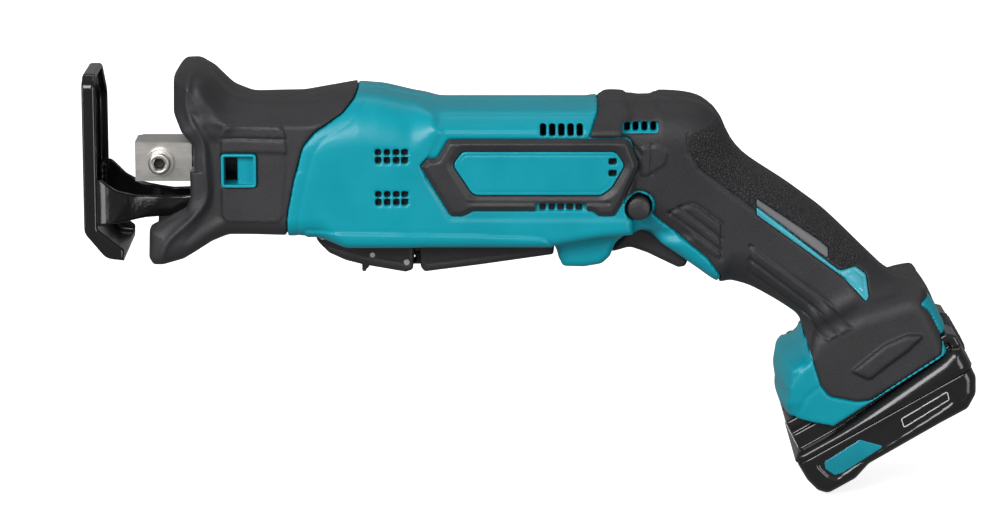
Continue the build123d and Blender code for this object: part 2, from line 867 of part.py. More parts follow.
with BuildPart() as trigger_lock_button:
    add(cross_rod(BUTTON_X, BUTTON_Z, BUTTON_R, -27.2, 23.2))
    fillet(trigger_lock_button.edges(), 0.8)
trigger_lock_button.part.label = "trigger_lock_button"
export_step(trigger_lock_button.part, "parts/trigger_lock_button.step")

# Paddle switch under the barrel: two levers, joined at the link pin.

front_paddle_outline = [
    (60.8, -30),
    (67, -35.5),
    (73, -38.1),
    (80, -40.1),
    (96.5, -43.2),
    (99.7, -42),
    (100, -40),
    (100, -32),
    (84, -31),
    (67, -28),
    (64, -27.9),
    (61.5, -28.6),
]
with BuildPart() as front_paddle:
    add(side_prism(front_paddle_outline, PADDLE_HALF, 0.8))
    add(block((77, -5, -50), (110, 5, -20)), mode=Mode.SUBTRACT)
    add(cross_rod(*PADDLE_FRONT_PIVOT, 1.55, -20, 20), mode=Mode.SUBTRACT)
    add(cross_rod(*LINK_PIN, LINK_PIN_R, -20, 20), mode=Mode.SUBTRACT)
    add(cross_rod(*LOCK_PIVOT, 1.0, -20, 20), mode=Mode.SUBTRACT)
front_paddle.part.label = "front_paddle"
export_step(front_paddle.part, "parts/front_paddle.step")

with BuildPart() as link_pin:
    add(cross_rod(*LINK_PIN, LINK_PIN_R, -PADDLE_HALF - 0.3, PADDLE_HALF + 0.3))
link_pin.part.label = "link_pin"
export_step(link_pin.part, "parts/link_pin.step")

with BuildPart() as lock_off_pin:
    add(cross_rod(*LOCK_PIVOT, 1.0, -PADDLE_HALF + 0.2, PADDLE_HALF - 0.2))
lock_off_pin.part.label = "lock_off_pin"
export_step(lock_off_pin.part, "parts/lock_off_pin.step")

lock_off_outline = [
    (80.4, -37.5),
    (81.5, -34.6),
    (85.5, -34.6),
    (88, -36.5),
    (86, -39.2),
    (82.6, -41),
    (81.6, -43.7),
    (80.2, -44),
    (79.4, -42.8),
]
with BuildPart() as lock_off_lever:
    add(side_prism(lock_off_outline, 4.4, 0.5))
    add(cross_rod(*LOCK_PIVOT, 1.0 + RUNNING, -20, 20), mode=Mode.SUBTRACT)
lock_off_lever.part.label = "lock_off_lever"
export_step(lock_off_lever.part, "parts/lock_off_lever.step")

rear_paddle_outline = [
    (102.2, -41.5),
    (104.5, -43.2),
    (126.5, -40.3),
    (154.6, -36.4),
    (155.4, -34),
    (154.5, -29.5),
    (152, -27.6),
    (149, -29.5),
    (104, -32),
]
with BuildPart() as rear_paddle:
    add(side_prism(rear_paddle_outline, PADDLE_HALF, 0.3))
    add(block((91.5, -4.4, -42.2), (108, 4.4, -36.8)))
    with BuildSketch(at(*LINK_PIN, -10)):
        SlotOverall(2 * (LINK_PIN_R + LINK_SLOT_REACH), 2 * (LINK_PIN_R + 0.35))
    extrude(amount=-20, mode=Mode.SUBTRACT)
    add(cross_rod(*PADDLE_REAR_PIVOT, 1.55, -20, 20), mode=Mode.SUBTRACT)
rear_paddle.part.label = "rear_paddle"
export_step(rear_paddle.part, "parts/rear_paddle.step")

with BuildPart() as paddle_pivot_pins:
    for x, z in (PADDLE_FRONT_PIVOT, PADDLE_REAR_PIVOT):
        add(cross_rod(x, z, 1.5, -PADDLE_HALF - 0.6, PADDLE_HALF + 0.6))
paddle_pivot_pins.part.label = "paddle_pivot_pins"
export_step(paddle_pivot_pins.part, "parts/paddle_pivot_pins.step")

# Shoe: a flanged front plate, bent back at its foot, on two welded arms.

shoe_face = [(-26, -24), (-26, 33.5), (-21, 37), (8, 37), (26, 24), (26, -24)]
with BuildPart() as shoe_plate:
    with BuildSketch(Plane.YZ.offset(SHOE_FRONT)) as face_sketch:
        with BuildLine():
            Polyline(*shoe_face, close=True)
        make_face()
    extrude(amount=5.4)
    fillet(shoe_plate.edges().filter_by(Axis.X).group_by(Axis.Z)[1:], 3)
    foot = [
        (SHOE_FRONT, -23.9),
        (-19.6, -35.4),
        (-16.5, -36.3),
        (-13.4, -36.4),
        (-13.2, -32),
        (-23.4, -23.9),
    ]
    add(side_prism(foot, SHOE_HALF))
    with BuildSketch(Plane.YZ.offset(SHOE_FRONT + SHOE_SHEET)) as tray_sketch:
        with BuildLine():
            Polyline(*shoe_face, close=True)
        make_face()
        offset(amount=-SHOE_SHEET, kind=Kind.INTERSECTION)
    extrude(amount=10, mode=Mode.SUBTRACT)
    inner_foot = [
        (SHOE_FRONT + SHOE_SHEET, -22),
        (-18.9, -33.7),
        (-16.3, -34.7),
        (-12, -34.8),
        (-12, -22),
    ]
    add(side_prism(inner_foot, SHOE_HALF - SHOE_SHEET), mode=Mode.SUBTRACT)
    with BuildSketch(Plane.YZ.offset(SHOE_FRONT - 1)) as window_sketch:
        with Locations((0, 5)):
            RectangleRounded(16, 40, 4)
    extrude(amount=5, mode=Mode.SUBTRACT)
shoe_plate.part.label = "shoe_plate"
export_step(shoe_plate.part, "parts/shoe_plate.step")


def shoe_arm(side):
    """One arm: sheet that curves in from the plate's flange to the pivot, then cut to its side outline."""
    with BuildPart() as arm:
        with BuildSketch(Plane.XY.offset(-28)):
            with BuildLine():
                inner = [(-27.1, 24.3), (-21, 23.4), (-10, 16), (0, 11.6), (10, 10.6), (30, 10.6)]
                outer = [(x, y - 1.7) for x, y in reversed(inner)]
                Polyline(*[(x, side * y) for x, y in inner + outer], close=True)
            make_face()
        extrude(amount=30)
        profile = [
            (-27.2, -5),
            (-22.3, -4),
            (-16, -9.5),
            (-9, -12.4),
            (4, -13.8),
            (20, -12.8),
            (24, -12.2),
            (28.6, -15.5),
            (28.6, -18.5),
            (24, -21.8),
            (10, -21.6),
            (-6, -21.6),
            (-13, -22.6),
            (-22, -23.0),
            (-27.2, -21.7),
        ]
        add(side_prism(profile, 30), mode=Mode.INTERSECT)
        add(cross_rod(*SHOE_PIVOT, 2.0 + RUNNING, -30, 30), mode=Mode.SUBTRACT)
    return arm.part


with BuildPart() as shoe_arms:
    for side in (-1, 1):
        add(shoe_arm(side))
    add(block((2, -8.9, -21.6), (14, 8.9, -20)))
shoe_arms.part.label = "shoe_arms"
export_step(shoe_arms.part, "parts/shoe_arms.step")

with BuildPart() as shoe_pivot_pin:
    add(cross_rod(*SHOE_PIVOT, 2.0, -16, 16))
shoe_pivot_pin.part.label = "shoe_pivot_pin"
export_step(shoe_pivot_pin.part, "parts/shoe_pivot_pin.step")

# Battery pack: lower case, upper case with its neck, cells, cell board, release button.

lower_outline = [
    (0, 0),
    (2.5, -2.5),
    (20, -2.5),
    (24, 0),
    (68, 0),
    (73, 3),
    (77.5, 10.5),
    (77.5, 14),
    (0, 14),
]
with BuildPart() as battery_case_lower:
    add(side_prism(lower_outline, PACK_HALF, 0.8, pack_plane))
    with BuildSketch(pack_plane):
        with Locations((36, 9)):
            Rectangle(66.4, 14)
    extrude(amount=PACK_NECK_HALF, both=True, mode=Mode.SUBTRACT)
    add(button_way(), mode=Mode.SUBTRACT)
battery_case_lower.part.label = "battery_case_lower"
export_step(battery_case_lower.part, "parts/battery_case_lower.step")

skirt_outline = [(0, 14), (77.5, 14), (77.8, 22), (76, 25.4), (70, 25), (20.5, 17.8), (2, 17.8)]
neck_outline = [(2, 14), (78, 14), (78, 27.5), (75, 30.4), (9, 30.4), (3, 30.4)]
with BuildPart() as battery_case_upper:
    add(side_prism(skirt_outline, PACK_HALF, 0.0, pack_plane))
    add(side_prism(neck_outline, PACK_NECK_HALF, 0.0, pack_plane))
    with BuildSketch(pack_plane):
        with Locations((36, 20)):
            Rectangle(66.4, 13)
    extrude(amount=27.7, both=True, mode=Mode.SUBTRACT)
    add(button_way(), mode=Mode.SUBTRACT)
    for y in CONTACTS:
        with BuildSketch(pack_plane.offset(y)):
            with Locations((15, 29.5)):
                Rectangle(36, 6)
        extrude(amount=0.9, both=True, mode=Mode.SUBTRACT)
battery_case_upper.part.label = "battery_case_upper"
export_step(battery_case_upper.part, "parts/battery_case_upper.step")

with BuildPart() as battery_cells:
    for y in (-18.45, 0, 18.45):
        cell_end = pack_plane.from_local_coords((3.4, 11.6, -y))
        with BuildSketch(Plane(origin=cell_end, x_dir=(0, 1, 0), z_dir=PACK_ALONG)):
            Circle(CELL_R)
        extrude(amount=CELL_LENGTH)
battery_cells.part.label = "battery_cells"
export_step(battery_cells.part, "parts/battery_cells.step")

with BuildPart() as cell_board:
    with BuildSketch(pack_plane):
        with Locations((38, 22)):
            Rectangle(56, 1.6)
    extrude(amount=24, both=True)
cell_board.part.label = "cell_board"
export_step(cell_board.part, "parts/cell_board.step")

with BuildPart() as battery_label:
    with BuildSketch(pack_plane.offset(PACK_HALF)):
        with Locations((38, 7)):
            RectangleRounded(62, 10, 2)
    extrude(amount=0.3)
battery_label.part.label = "battery_label"
export_step(battery_label.part, "parts/battery_label.step")

with BuildPart() as battery_button:
    with BuildSketch(pack_plane):
        with Locations((76.6, 22.2)):
            RectangleRounded(4.6, 13, 1)
    extrude(amount=10, both=True)
battery_button.part.label = "battery_button"
export_step(battery_button.part, "parts/battery_button.step")

with BuildPart() as battery_button_spring:
    spring_plane = Plane(
        origin=pack_plane.from_local_coords((75.8, 11.1, 0)),
        x_dir=(0, 1, 0),
        z_dir=(-sin(radians(PACK_ANGLE)), 0, cos(radians(PACK_ANGLE))),
    )
    with BuildSketch(spring_plane):
        Circle(1.8)
        Circle(1.2, mode=Mode.SUBTRACT)
    extrude(amount=4.5)
battery_button_spring.part.label = "battery_button_spring"
export_step(battery_button_spring.part, "parts/battery_button_spring.step")

with BuildPart() as paddle_microswitch:
    add(block((105, -6, -26.4), (111.5, 6, -21.2)))
    chamfer(paddle_microswitch.edges().filter_by(Axis.Y), 0.5)
paddle_microswitch.part.label = "paddle_microswitch"
export_step(paddle_microswitch.part, "parts/paddle_microswitch.step")

with BuildPart() as trigger_spring:
    with BuildSketch(Plane(origin=(201.0, 0, -23.5), x_dir=(0, 1, 0), z_dir=TRIGGER_WAY)):
        Circle(2.4)
        Circle(1.7, mode=Mode.SUBTRACT)
    extrude(amount=10.8)
trigger_spring.part.label = "trigger_spring"
export_step(trigger_spring.part, "parts/trigger_spring.step")
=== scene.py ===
import bpy
import json
import math
import numpy as np
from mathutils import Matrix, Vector


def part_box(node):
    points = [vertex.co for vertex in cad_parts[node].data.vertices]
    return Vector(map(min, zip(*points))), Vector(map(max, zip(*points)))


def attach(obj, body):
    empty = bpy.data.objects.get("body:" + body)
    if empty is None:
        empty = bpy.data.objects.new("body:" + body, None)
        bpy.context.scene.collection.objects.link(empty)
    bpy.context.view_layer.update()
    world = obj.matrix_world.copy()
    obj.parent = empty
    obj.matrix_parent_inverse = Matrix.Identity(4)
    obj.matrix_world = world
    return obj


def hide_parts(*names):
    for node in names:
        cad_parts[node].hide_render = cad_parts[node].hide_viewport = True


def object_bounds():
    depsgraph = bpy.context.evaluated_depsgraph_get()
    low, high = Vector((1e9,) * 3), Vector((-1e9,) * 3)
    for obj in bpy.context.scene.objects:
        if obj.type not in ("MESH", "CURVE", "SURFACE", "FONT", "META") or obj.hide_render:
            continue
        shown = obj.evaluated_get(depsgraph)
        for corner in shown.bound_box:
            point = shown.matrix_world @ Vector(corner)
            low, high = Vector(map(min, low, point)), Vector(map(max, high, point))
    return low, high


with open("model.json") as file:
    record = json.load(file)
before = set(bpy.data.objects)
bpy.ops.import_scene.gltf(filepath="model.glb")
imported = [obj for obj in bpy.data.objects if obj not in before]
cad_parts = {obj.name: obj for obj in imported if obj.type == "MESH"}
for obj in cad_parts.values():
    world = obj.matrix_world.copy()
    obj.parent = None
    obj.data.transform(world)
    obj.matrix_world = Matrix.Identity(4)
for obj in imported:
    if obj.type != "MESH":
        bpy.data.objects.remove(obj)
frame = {"nodes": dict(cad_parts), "record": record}
cad_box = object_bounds()

# A compact battery reciprocating saw, in the CAD frame. Outlines are in millimetres, as (x, z)
# points of the side view; meshes are in metres. The saw's left, which is seen first, is -Y.

MM = 0.001
COARSE = 1.0
PACK_ANGLE = math.radians(30)


def box_mm(node):
    """Lowest and highest corner of a CAD node, in millimetres."""
    low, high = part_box(node)
    return np.array(low) / MM, np.array(high) / MM


# ---------------------------------------------------------------- solid modelling by distance
# A shape is a field of signed distances on a grid, in millimetres, negative inside.


class Grid:
    """Sample points over a box. turn is the angle of its x axis above the frame's, about origin."""

    def __init__(self, low, high, step, origin=(0, 0), turn=0.0):
        step = step * COARSE
        counts = [int(math.ceil((b - a) / step)) + 1 for a, b in zip(low, high)]
        axes = [a + step * np.arange(n) for a, n in zip(low, counts)]
        self.x = axes[0].reshape(-1, 1, 1)
        self.y = axes[1].reshape(1, -1, 1)
        self.z = axes[2].reshape(1, 1, -1)
        self.low = np.array(low, float)
        self.step = step
        self.origin = origin
        self.turn = turn

    def in_frame(self, points):
        """Grid points, turned and moved into the CAD frame."""
        c, s = math.cos(self.turn), math.sin(self.turn)
        x, y, z = points[:, 0], points[:, 1], points[:, 2]
        return np.stack([self.origin[0] + c * x - s * z, y, self.origin[1] + s * x + c * z], 1)


def rounded(points):
    """A closed outline from (x, z) or (x, z, radius) corners, with each radius as an arc."""
    out = []
    count = len(points)
    for i, p in enumerate(points):
        here = np.array(p[:2], float)
        radius = p[2] if len(p) > 2 else 0.0
        if radius == 0:
            out.append(here)
            continue
        before = np.array(points[i - 1][:2], float) - here
        after = np.array(points[(i + 1) % count][:2], float) - here
        len_a, len_b = np.linalg.norm(before), np.linalg.norm(after)
        u, v = before / len_a, after / len_b
        corner = math.acos(max(-1.0, min(1.0, float(u @ v))))
        reach = min(radius / math.tan(corner / 2), 0.49 * len_a, 0.49 * len_b)
        steps = 3 + int((math.pi - corner) * 4)
        a, b = here + u * reach, here + v * reach
        for t in np.linspace(0, 1, steps):
            out.append((1 - t) ** 2 * a + 2 * t * (1 - t) * here + t * t * b)
    return np.array(out)


def flowing(points, closed=True, steps=6):
    """A smooth curve through the points."""
    p = np.array(points, float)
    n = len(p)
    out = []
    for i in range(n if closed else n - 1):
        p0, p1 = p[i - 1 if closed or i else 0], p[i]
        p2 = p[(i + 1) % n]
        p3 = p[(i + 2) % n] if closed else p[min(i + 2, n - 1)]
        for t in np.arange(steps) / steps:
            out.append(
                0.5
                * (
                    2 * p1
                    + (p2 - p0) * t
                    + (2 * p0 - 5 * p1 + 4 * p2 - p3) * t**2
                    + (3 * p1 - p0 - 3 * p2 + p3) * t**3
                )
            )
    if not closed:
        out.append(p[-1])
    return np.array(out)


def flat(u, v, outline):
    """Signed distance to a closed outline in the plane of u and v."""
    u, v = np.broadcast_arrays(u, v)
    best = np.full(u.shape, 1e9)
    inside = np.zeros(u.shape, bool)
    for a, b in zip(outline, np.roll(outline, -1, 0)):
        d = b - a
        length2 = float(d @ d)
        if length2 < 1e-12:
            continue
        pu, pv = u - a[0], v - a[1]
        t = np.clip((pu * d[0] + pv * d[1]) / length2, 0, 1)
        best = np.minimum(best, (pu - t * d[0]) ** 2 + (pv - t * d[1]) ** 2)
        if a[1] != b[1]:
            crosses = (a[1] > v) != (b[1] > v)
            inside ^= crosses & (u < a[0] + (v - a[1]) * d[0] / d[1])
    return np.where(inside, -1, 1) * np.sqrt(best)


def near_line(u, v, points):
    """Distance to an open line of points."""
    u, v = np.broadcast_arrays(u, v)
    best = np.full(u.shape, 1e9)
    for a, b in zip(points[:-1], points[1:]):
        a, d = np.array(a, float), np.array(b, float) - np.array(a, float)
        pu, pv = u - a[0], v - a[1]
        t = np.clip((pu * d[0] + pv * d[1]) / float(d @ d), 0, 1)
        best = np.minimum(best, (pu - t * d[0]) ** 2 + (pv - t * d[1]) ** 2)
    return np.sqrt(best)


def both(a, b, radius):
    """What two shapes share, with the edge between them rounded."""
    p, q = a + radius, b + radius
    outside = np.sqrt(np.maximum(p, 0) ** 2 + np.maximum(q, 0) ** 2)
    return outside + np.minimum(np.maximum(p, q), 0) - radius


def join(a, b, soft):
    """Two shapes together, with a soft inner corner."""
    h = np.clip(0.5 + 0.5 * (b - a) / soft, 0, 1)
    return b + (a - b) * h - soft * h * (1 - h)


def cut(a, b, soft=0.0):
    """The first shape less the second."""
    if soft == 0:
        return np.maximum(a, -b)
    return -join(-a, b, soft)


def slab(u, v, low, high, radius=0.0):
    """Signed distance to an upright rectangle with rounded corners."""
    cu, cv = (low[0] + high[0]) / 2, (low[1] + high[1]) / 2
    pu = np.abs(u - cu) - (high[0] - low[0]) / 2 + radius
    pv = np.abs(v - cv) - (high[1] - low[1]) / 2 + radius
    outside = np.sqrt(np.maximum(pu, 0) ** 2 + np.maximum(pv, 0) ** 2)
    return outside + np.minimum(np.maximum(pu, pv), 0) - radius


def within(g, form, half):
    """The part of a shape that is no further than half from the saw's middle plane."""
    return np.maximum(form, np.abs(g.y) - half)


def beyond(g, form, half):
    """The part of a shape that is further than half from the saw's middle plane."""
    return np.maximum(form, half - np.abs(g.y))


def prism(g, outline, half, radius):
    """A side outline given a width, with rounded edges."""
    return both(flat(g.x, g.z, outline), np.abs(g.y) - half, radius)


def ease(t):
    """0 to 1 with soft ends."""
    t = np.clip(t, 0, 1)
    return t * t * (3 - 2 * t)


CORNERS = [np.array(corner) for corner in np.ndindex(2, 2, 2)]
EDGES = [(c, c + way) for c in CORNERS for way in np.eye(3, dtype=int) if (c + way).max() < 2]


def skin(grid, field):
    """Vertices and quads of the surface where the field is zero."""
    field = np.broadcast_to(field, (grid.x.size, grid.y.size, grid.z.size)).astype(np.float32)
    field = field.copy()
    for axis in range(3):
        for end in (0, -1):
            index = [slice(None)] * 3
            index[axis] = end
            field[tuple(index)] = np.maximum(field[tuple(index)], 0.02)
    inside = field < 0
    cells = tuple(n - 1 for n in field.shape)
    total = np.zeros(cells, np.int8)
    for corner in np.ndindex(2, 2, 2):
        total += inside[tuple(slice(c, c + n) for c, n in zip(corner, cells))]
    active = np.argwhere((total > 0) & (total < 8))
    number = np.full(cells, -1, np.int64)
    number[tuple(active.T)] = np.arange(len(active))
    spot = np.zeros((len(active), 3))
    hits = np.zeros(len(active))
    for a, b in EDGES:
        fa = field[tuple((active + a).T)]
        fb = field[tuple((active + b).T)]
        crossing = (fa < 0) != (fb < 0)
        t = np.where(crossing, fa / np.where(crossing, fa - fb, 1), 0)
        spot += np.where(crossing[:, None], a + t[:, None] * (b - a), 0)
        hits += crossing
    points = grid.low + grid.step * (active + spot / hits[:, None])
    quads = []
    for axis in range(3):
        first, second = (axis + 1) % 3, (axis + 2) % 3
        low = [slice(1, -1)] * 3
        high = [slice(1, -1)] * 3
        low[axis], high[axis] = slice(0, -1), slice(1, None)
        a, b = inside[tuple(low)], inside[tuple(high)]
        at = np.argwhere(a != b)
        leaving = a[tuple(at.T)]
        base = at + 1
        base[:, axis] -= 1
        ring = []
        for df, ds in ((0, 0), (1, 0), (1, 1), (0, 1)):
            cell = base.copy()
            cell[:, first] -= df
            cell[:, second] -= ds
            ring.append(number[tuple(cell.T)])
        ring = np.stack(ring, 1)
        ring[~leaving] = ring[~leaving][:, ::-1]
        quads.append(ring)
    return points, np.concatenate(quads)


def piece(name, grid, field, body, look, nodes=(), slot=None, marks=None, mirror=False):
    """One piece of the saw from its field, with a finish by name. slot is not used.
    marks adds a value to each vertex for the material."""
    points, quads = skin(grid, field)
    points = grid.in_frame(points)
    if mirror:
        points[:, 1] *= -1
        quads = quads[:, ::-1]
    mesh = bpy.data.meshes.new(name)
    mesh.vertices.add(len(points))
    mesh.vertices.foreach_set("co", (points * MM).astype(np.float32).ravel())
    mesh.loops.add(quads.size)
    mesh.loops.foreach_set("vertex_index", quads.astype(np.int32).ravel())
    mesh.polygons.add(len(quads))
    mesh.polygons.foreach_set("loop_start", np.arange(0, quads.size, 4, dtype=np.int32))
    mesh.update(calc_edges=True)
    mesh.shade_smooth()
    if marks is not None:
        values = marks(points[:, 0], points[:, 1], points[:, 2])
        mark = mesh.attributes.new("mark", "FLOAT", "POINT")
        mark.data.foreach_set("value", values.astype(np.float32))
    made = bpy.data.objects.new(name, mesh)
    bpy.context.scene.collection.objects.link(made)
    made.data.materials.append(FINISHES[look])
    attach(made, body)
    if nodes:
        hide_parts(*nodes)


def on_both_sides(name, grid, field, body, look, nodes=(), slot=None):
    """A piece on the left and its mirror image on the right; the left one stands for the nodes."""
    piece(name + "_left", grid, field, body, look, nodes, slot)
    piece(name + "_right", grid, field, body, look, (), slot, mirror=True)


# ---------------------------------------------------------------- materials


def fill(tree, node, inputs):
    """Sets a node's inputs by name or number, each to a value or to a link from a socket."""
    for name, value in inputs.items():
        if isinstance(value, bpy.types.NodeSocket):
            tree.links.new(value, node.inputs[name])
        else:
            node.inputs[name].default_value = value


def shader_node(tree, kind, inputs, **options):
    """The outputs of a new shader node with these options and inputs."""
    node = tree.nodes.new("ShaderNode" + kind)
    for name, value in options.items():
        setattr(node, name, value)
    fill(tree, node, inputs)
    return node.outputs


def noise(tree, place, scale, detail, rough=0.6):
    """The outputs of a noise texture."""
    return shader_node(tree, "TexNoise", {
        "Vector": place, "Scale": scale, "Detail": detail, "Roughness": rough,
    })


def spread(tree, source, low, high, from_low=0.3, from_high=0.7):
    """A value from low to high as the source goes over its middle."""
    return shader_node(tree, "MapRange", {
        "Value": source, "From Min": from_low, "From Max": from_high, "To Min": low, "To Max": high,
    })["Result"]


def mixed(tree, amount, first, second):
    """A colour between two others."""
    inputs = {"Factor": amount, "A": first, "B": second}
    return shader_node(tree, "Mix", inputs, data_type="RGBA")["Result"]


FINISHES = {}


def finish(name, colour, rough, metallic=0.0, coat=0.0, grain=1400.0, relief=0.08, mottle=0.12,
           wear=0.25, leather=False, brushed=None, specular=0.5):
    """A material: colour with mottling and lighter worn edges, uneven roughness and a fine relief.
    leather adds pores where a piece's marks say so; brushed draws the relief out along an axis."""
    made = FINISHES[name] = bpy.data.materials.new(name)
    made.use_nodes = True
    tree = made.node_tree
    here = shader_node(tree, "TexCoord", {})["Object"]

    def shade(times, plus=0.0):
        return (*[min(1, c * times + plus) for c in colour], 1)

    cloud = spread(tree, noise(tree, here, 45.0, 3.0)["Fac"], 0.0, 1.0)
    tint = mixed(tree, cloud, shade(1 - mottle), shade(1 + mottle))
    sharp = spread(tree, shader_node(tree, "NewGeometry", {})["Pointiness"], 0.0, wear, 0.52, 0.62)
    smudge = noise(tree, here, 90.0, 5.0, 0.65)["Fac"]
    streaks = here
    if brushed:
        streaks = shader_node(tree, "Mapping", {"Vector": here, "Scale": brushed})["Vector"]
    fine = noise(tree, streaks, grain, 2.0, 0.5)["Fac"]
    bump = {"Height": fine, "Strength": 1.0, "Distance": relief * MM}
    surface = shader_node(tree, "Bump", bump)["Normal"]
    if leather:
        warp = noise(tree, here, 600.0, 3.0)["Color"]
        shift = {0: warp, 1: (0.0016, 0.0016, 0.0016), 2: here}
        place = shader_node(tree, "VectorMath", shift, operation="MULTIPLY_ADD")["Vector"]
        cells = {"Vector": place, "Scale": 720.0}
        edges = shader_node(tree, "TexVoronoi", cells, feature="DISTANCE_TO_EDGE")["Distance"]
        hide = spread(tree, edges, 0.0, 1.0, 0.0, 0.28)
        mark = shader_node(tree, "Attribute", {}, attribute_name="mark")["Fac"]
        pores = shader_node(tree, "Math", {0: hide, 1: mark}, operation="MULTIPLY")["Value"]
        bump = {"Height": pores, "Strength": 1.0, "Distance": 0.55 * MM, "Normal": surface}
        surface = shader_node(tree, "Bump", bump)["Normal"]
    fill(tree, tree.nodes["Principled BSDF"], {
        "Base Color": mixed(tree, sharp, tint, shade(1.5, 0.05)),
        "Metallic": metallic,
        "Roughness": spread(tree, smudge, rough * 0.85, min(1, rough * 1.2)),
        "Specular IOR Level": specular,
        "Coat Weight": coat,
        "Coat Roughness": 0.12,
        "Normal": surface,
    })


finish("teal_plastic", (0.0, 0.335, 0.425), 0.36, relief=0.05, mottle=0.05, wear=0.2, coat=0.06,
       specular=0.35)
finish("charcoal_rubber", (0.028, 0.0265, 0.0295), 0.5, relief=0.16, grain=2200.0, wear=0.12,
       leather=True)
finish("charcoal_plastic", (0.030, 0.029, 0.032), 0.42, relief=0.10, grain=1800.0, wear=0.12)
finish("shoe_paint", (0.006, 0.0056, 0.0064), 0.2, relief=0.10, grain=450.0, coat=0.5, wear=0.1)
finish("gloss_black", (0.010, 0.0095, 0.0105), 0.24, relief=0.03, coat=0.35, wear=0.15)
finish("label_film", (0.0, 0.29, 0.38), 0.3, relief=0.02, coat=0.4, wear=0.0)
finish("label_pale", (0.72, 0.70, 0.66), 0.4, relief=0.02, wear=0.0)
finish("stripe_teal", (0.06, 0.44, 0.54), 0.28, relief=0.02, coat=0.4, wear=0.0)
finish("grey_stripe", (0.16, 0.155, 0.165), 0.4, relief=0.05, wear=0.1)
finish("clamp_steel", (0.80, 0.77, 0.73), 0.36, 1.0, relief=0.05, grain=900.0,
       brushed=(0.15, 1.0, 1.6), wear=0.4)
finish("bearing_steel", (0.62, 0.62, 0.63), 0.24, 1.0, relief=0.02, wear=0.3)
finish("black_steel", (0.05, 0.05, 0.055), 0.42, 1.0, relief=0.06, wear=0.5)
# Partly the cast metal's own grey, partly painted shade: darkened well below bare aluminium so the
# metal seen through the vents reads dark.
finish("cast_aluminium", (0.20, 0.20, 0.21), 0.55, 1.0, relief=0.3, grain=700.0)
finish("can_steel", (0.42, 0.43, 0.44), 0.32, 1.0, relief=0.04, brushed=(1.6, 0.2, 0.2))
finish("bronze", (0.46, 0.27, 0.13), 0.4, 1.0, relief=0.1)
finish("brass", (0.62, 0.44, 0.18), 0.3, 1.0, relief=0.04)
finish("seal_rubber", (0.02, 0.02, 0.021), 0.6, relief=0.1)
finish("magnet", (0.06, 0.06, 0.065), 0.55, relief=0.25, grain=900.0)
finish("black_plastic", (0.02, 0.02, 0.022), 0.45, relief=0.06)
finish("carbon", (0.018, 0.018, 0.019), 0.65, relief=0.2, grain=1800.0)
finish("circuit_board", (0.012, 0.11, 0.035), 0.35, relief=0.08, grain=600.0, coat=0.3)
finish("cell_wrap", (0.05, 0.10, 0.32), 0.3, relief=0.04, coat=0.3)

# ---------------------------------------------------------------- shared outlines

PACK_ORIGIN = (259.0, -128.7)  # front end of the pack's underside
# Half widths across the saw.
PACK_HALF = box_mm("battery_case_lower")[1][1]
NECK_HALF = 28.5
BARREL_HALF = 29.0
GUARD_HALF = 18.0
PADDLE_HALF = 12.5
TRIGGER_HALF = 8.0
# Thicknesses of the grip's rubber, the housing's plastic and the shoe's steel.
SKIN = 1.6
WALL = 2.4
SHEET = 1.7
NOSE_FRONT = 16.0  # where the housing's nose ends inside the boot

barrel_outline = rounded([
    (40, 25.2), (60, 26.2), (78, 29.4, 14), (88, 28.6, 20), (100, 25.8, 20), (110, 23.9, 14),
    (186, 23.9), (186, -26), (172, -27.2), (155, -30.3, 2), (74, -30.3, 8), (62, -27.0, 4),
    (40, -27.2),
])
guard_outline = rounded([
    (148, -24), (155.4, -31.6, 2), (156.7, -37, 3), (158.5, -40.8, 2), (167, -41.0, 5),
    (174, -39.8, 4), (177.4, -36.6, 3), (179.2, -31.6, 6), (183.5, -26.8, 6), (191, -24.6),
    (184, -14), (156, -14),
])
grip_outline = flowing([
    (167, 17), (173.4, 23.4), (175.6, 25.3), (181.6, 25.3), (184.4, 24.5), (192.6, 24.5),
    (195.4, 25.4), (205, 25.1), (212.3, 23.6), (217.4, 20.3), (221.2, 15.6), (223.6, 10.4),
    (226.8, 5.2), (232.5, -0.2), (246, -8.9), (254, -14.6), (263.1, -21.6), (277.3, -35.3),
    (292, -50.2), (300, -62), (290, -84), (262, -76), (257.0, -66.5), (250.6, -61.2), (242.6, -56.0),
    (233.4, -51.0), (226.6, -48.8), (219.6, -47.4), (210.6, -41.2), (201.0, -34.2), (190.0, -27.0),
    (181.0, -26.0), (172, -24.0), (166, -20),
])
boot_region = rounded([
    (79.0, 45), (79.0, 30.6), (76.9, 27.0, 4), (72.5, 22.0, 5), (62.2, 15.8, 10), (57.2, 9.5, 8),
    (53.6, -4.0, 20), (51.0, -17.5, 20), (49.9, -45), (-40, -45), (-40, 45),
])
BUTTON = (sum(box_mm("trigger_lock_button")) / 2)[[0, 2]]
RING_RADIUS = 6.5
ring_turns = [math.radians(a) for a in range(160, -31, -19)]
ring_arc = [
    (BUTTON[0] + RING_RADIUS * math.cos(t), BUTTON[1] + 0.4 + RING_RADIUS * math.sin(t))
    for t in ring_turns
]
rubber_region = np.array([
    (172.4, 45), (172.4, 22.9), (168.2, 12.9), (182.4, 12.4), (186.2, 2.4), (181.6, -9.8), *ring_arc,
    (196.2, -20.9), (215.2, -36.6), (221.0, -44.6), (219.6, -48.6), (219, -70), (340, -70), (340, 45),
])
leather_region = rounded([
    (219.8, 24), (216.3, 17.4, 2), (206.9, 13.6, 1), (207.6, 6.4, 8), (211.6, -0.6, 6),
    (234.2, -17.9), (234.2, -12.8), (262.6, -33.2), (262.8, -37.4), (268.4, -41.2, 1), (281, -38.6),
    (290, -30), (240, 15),
])
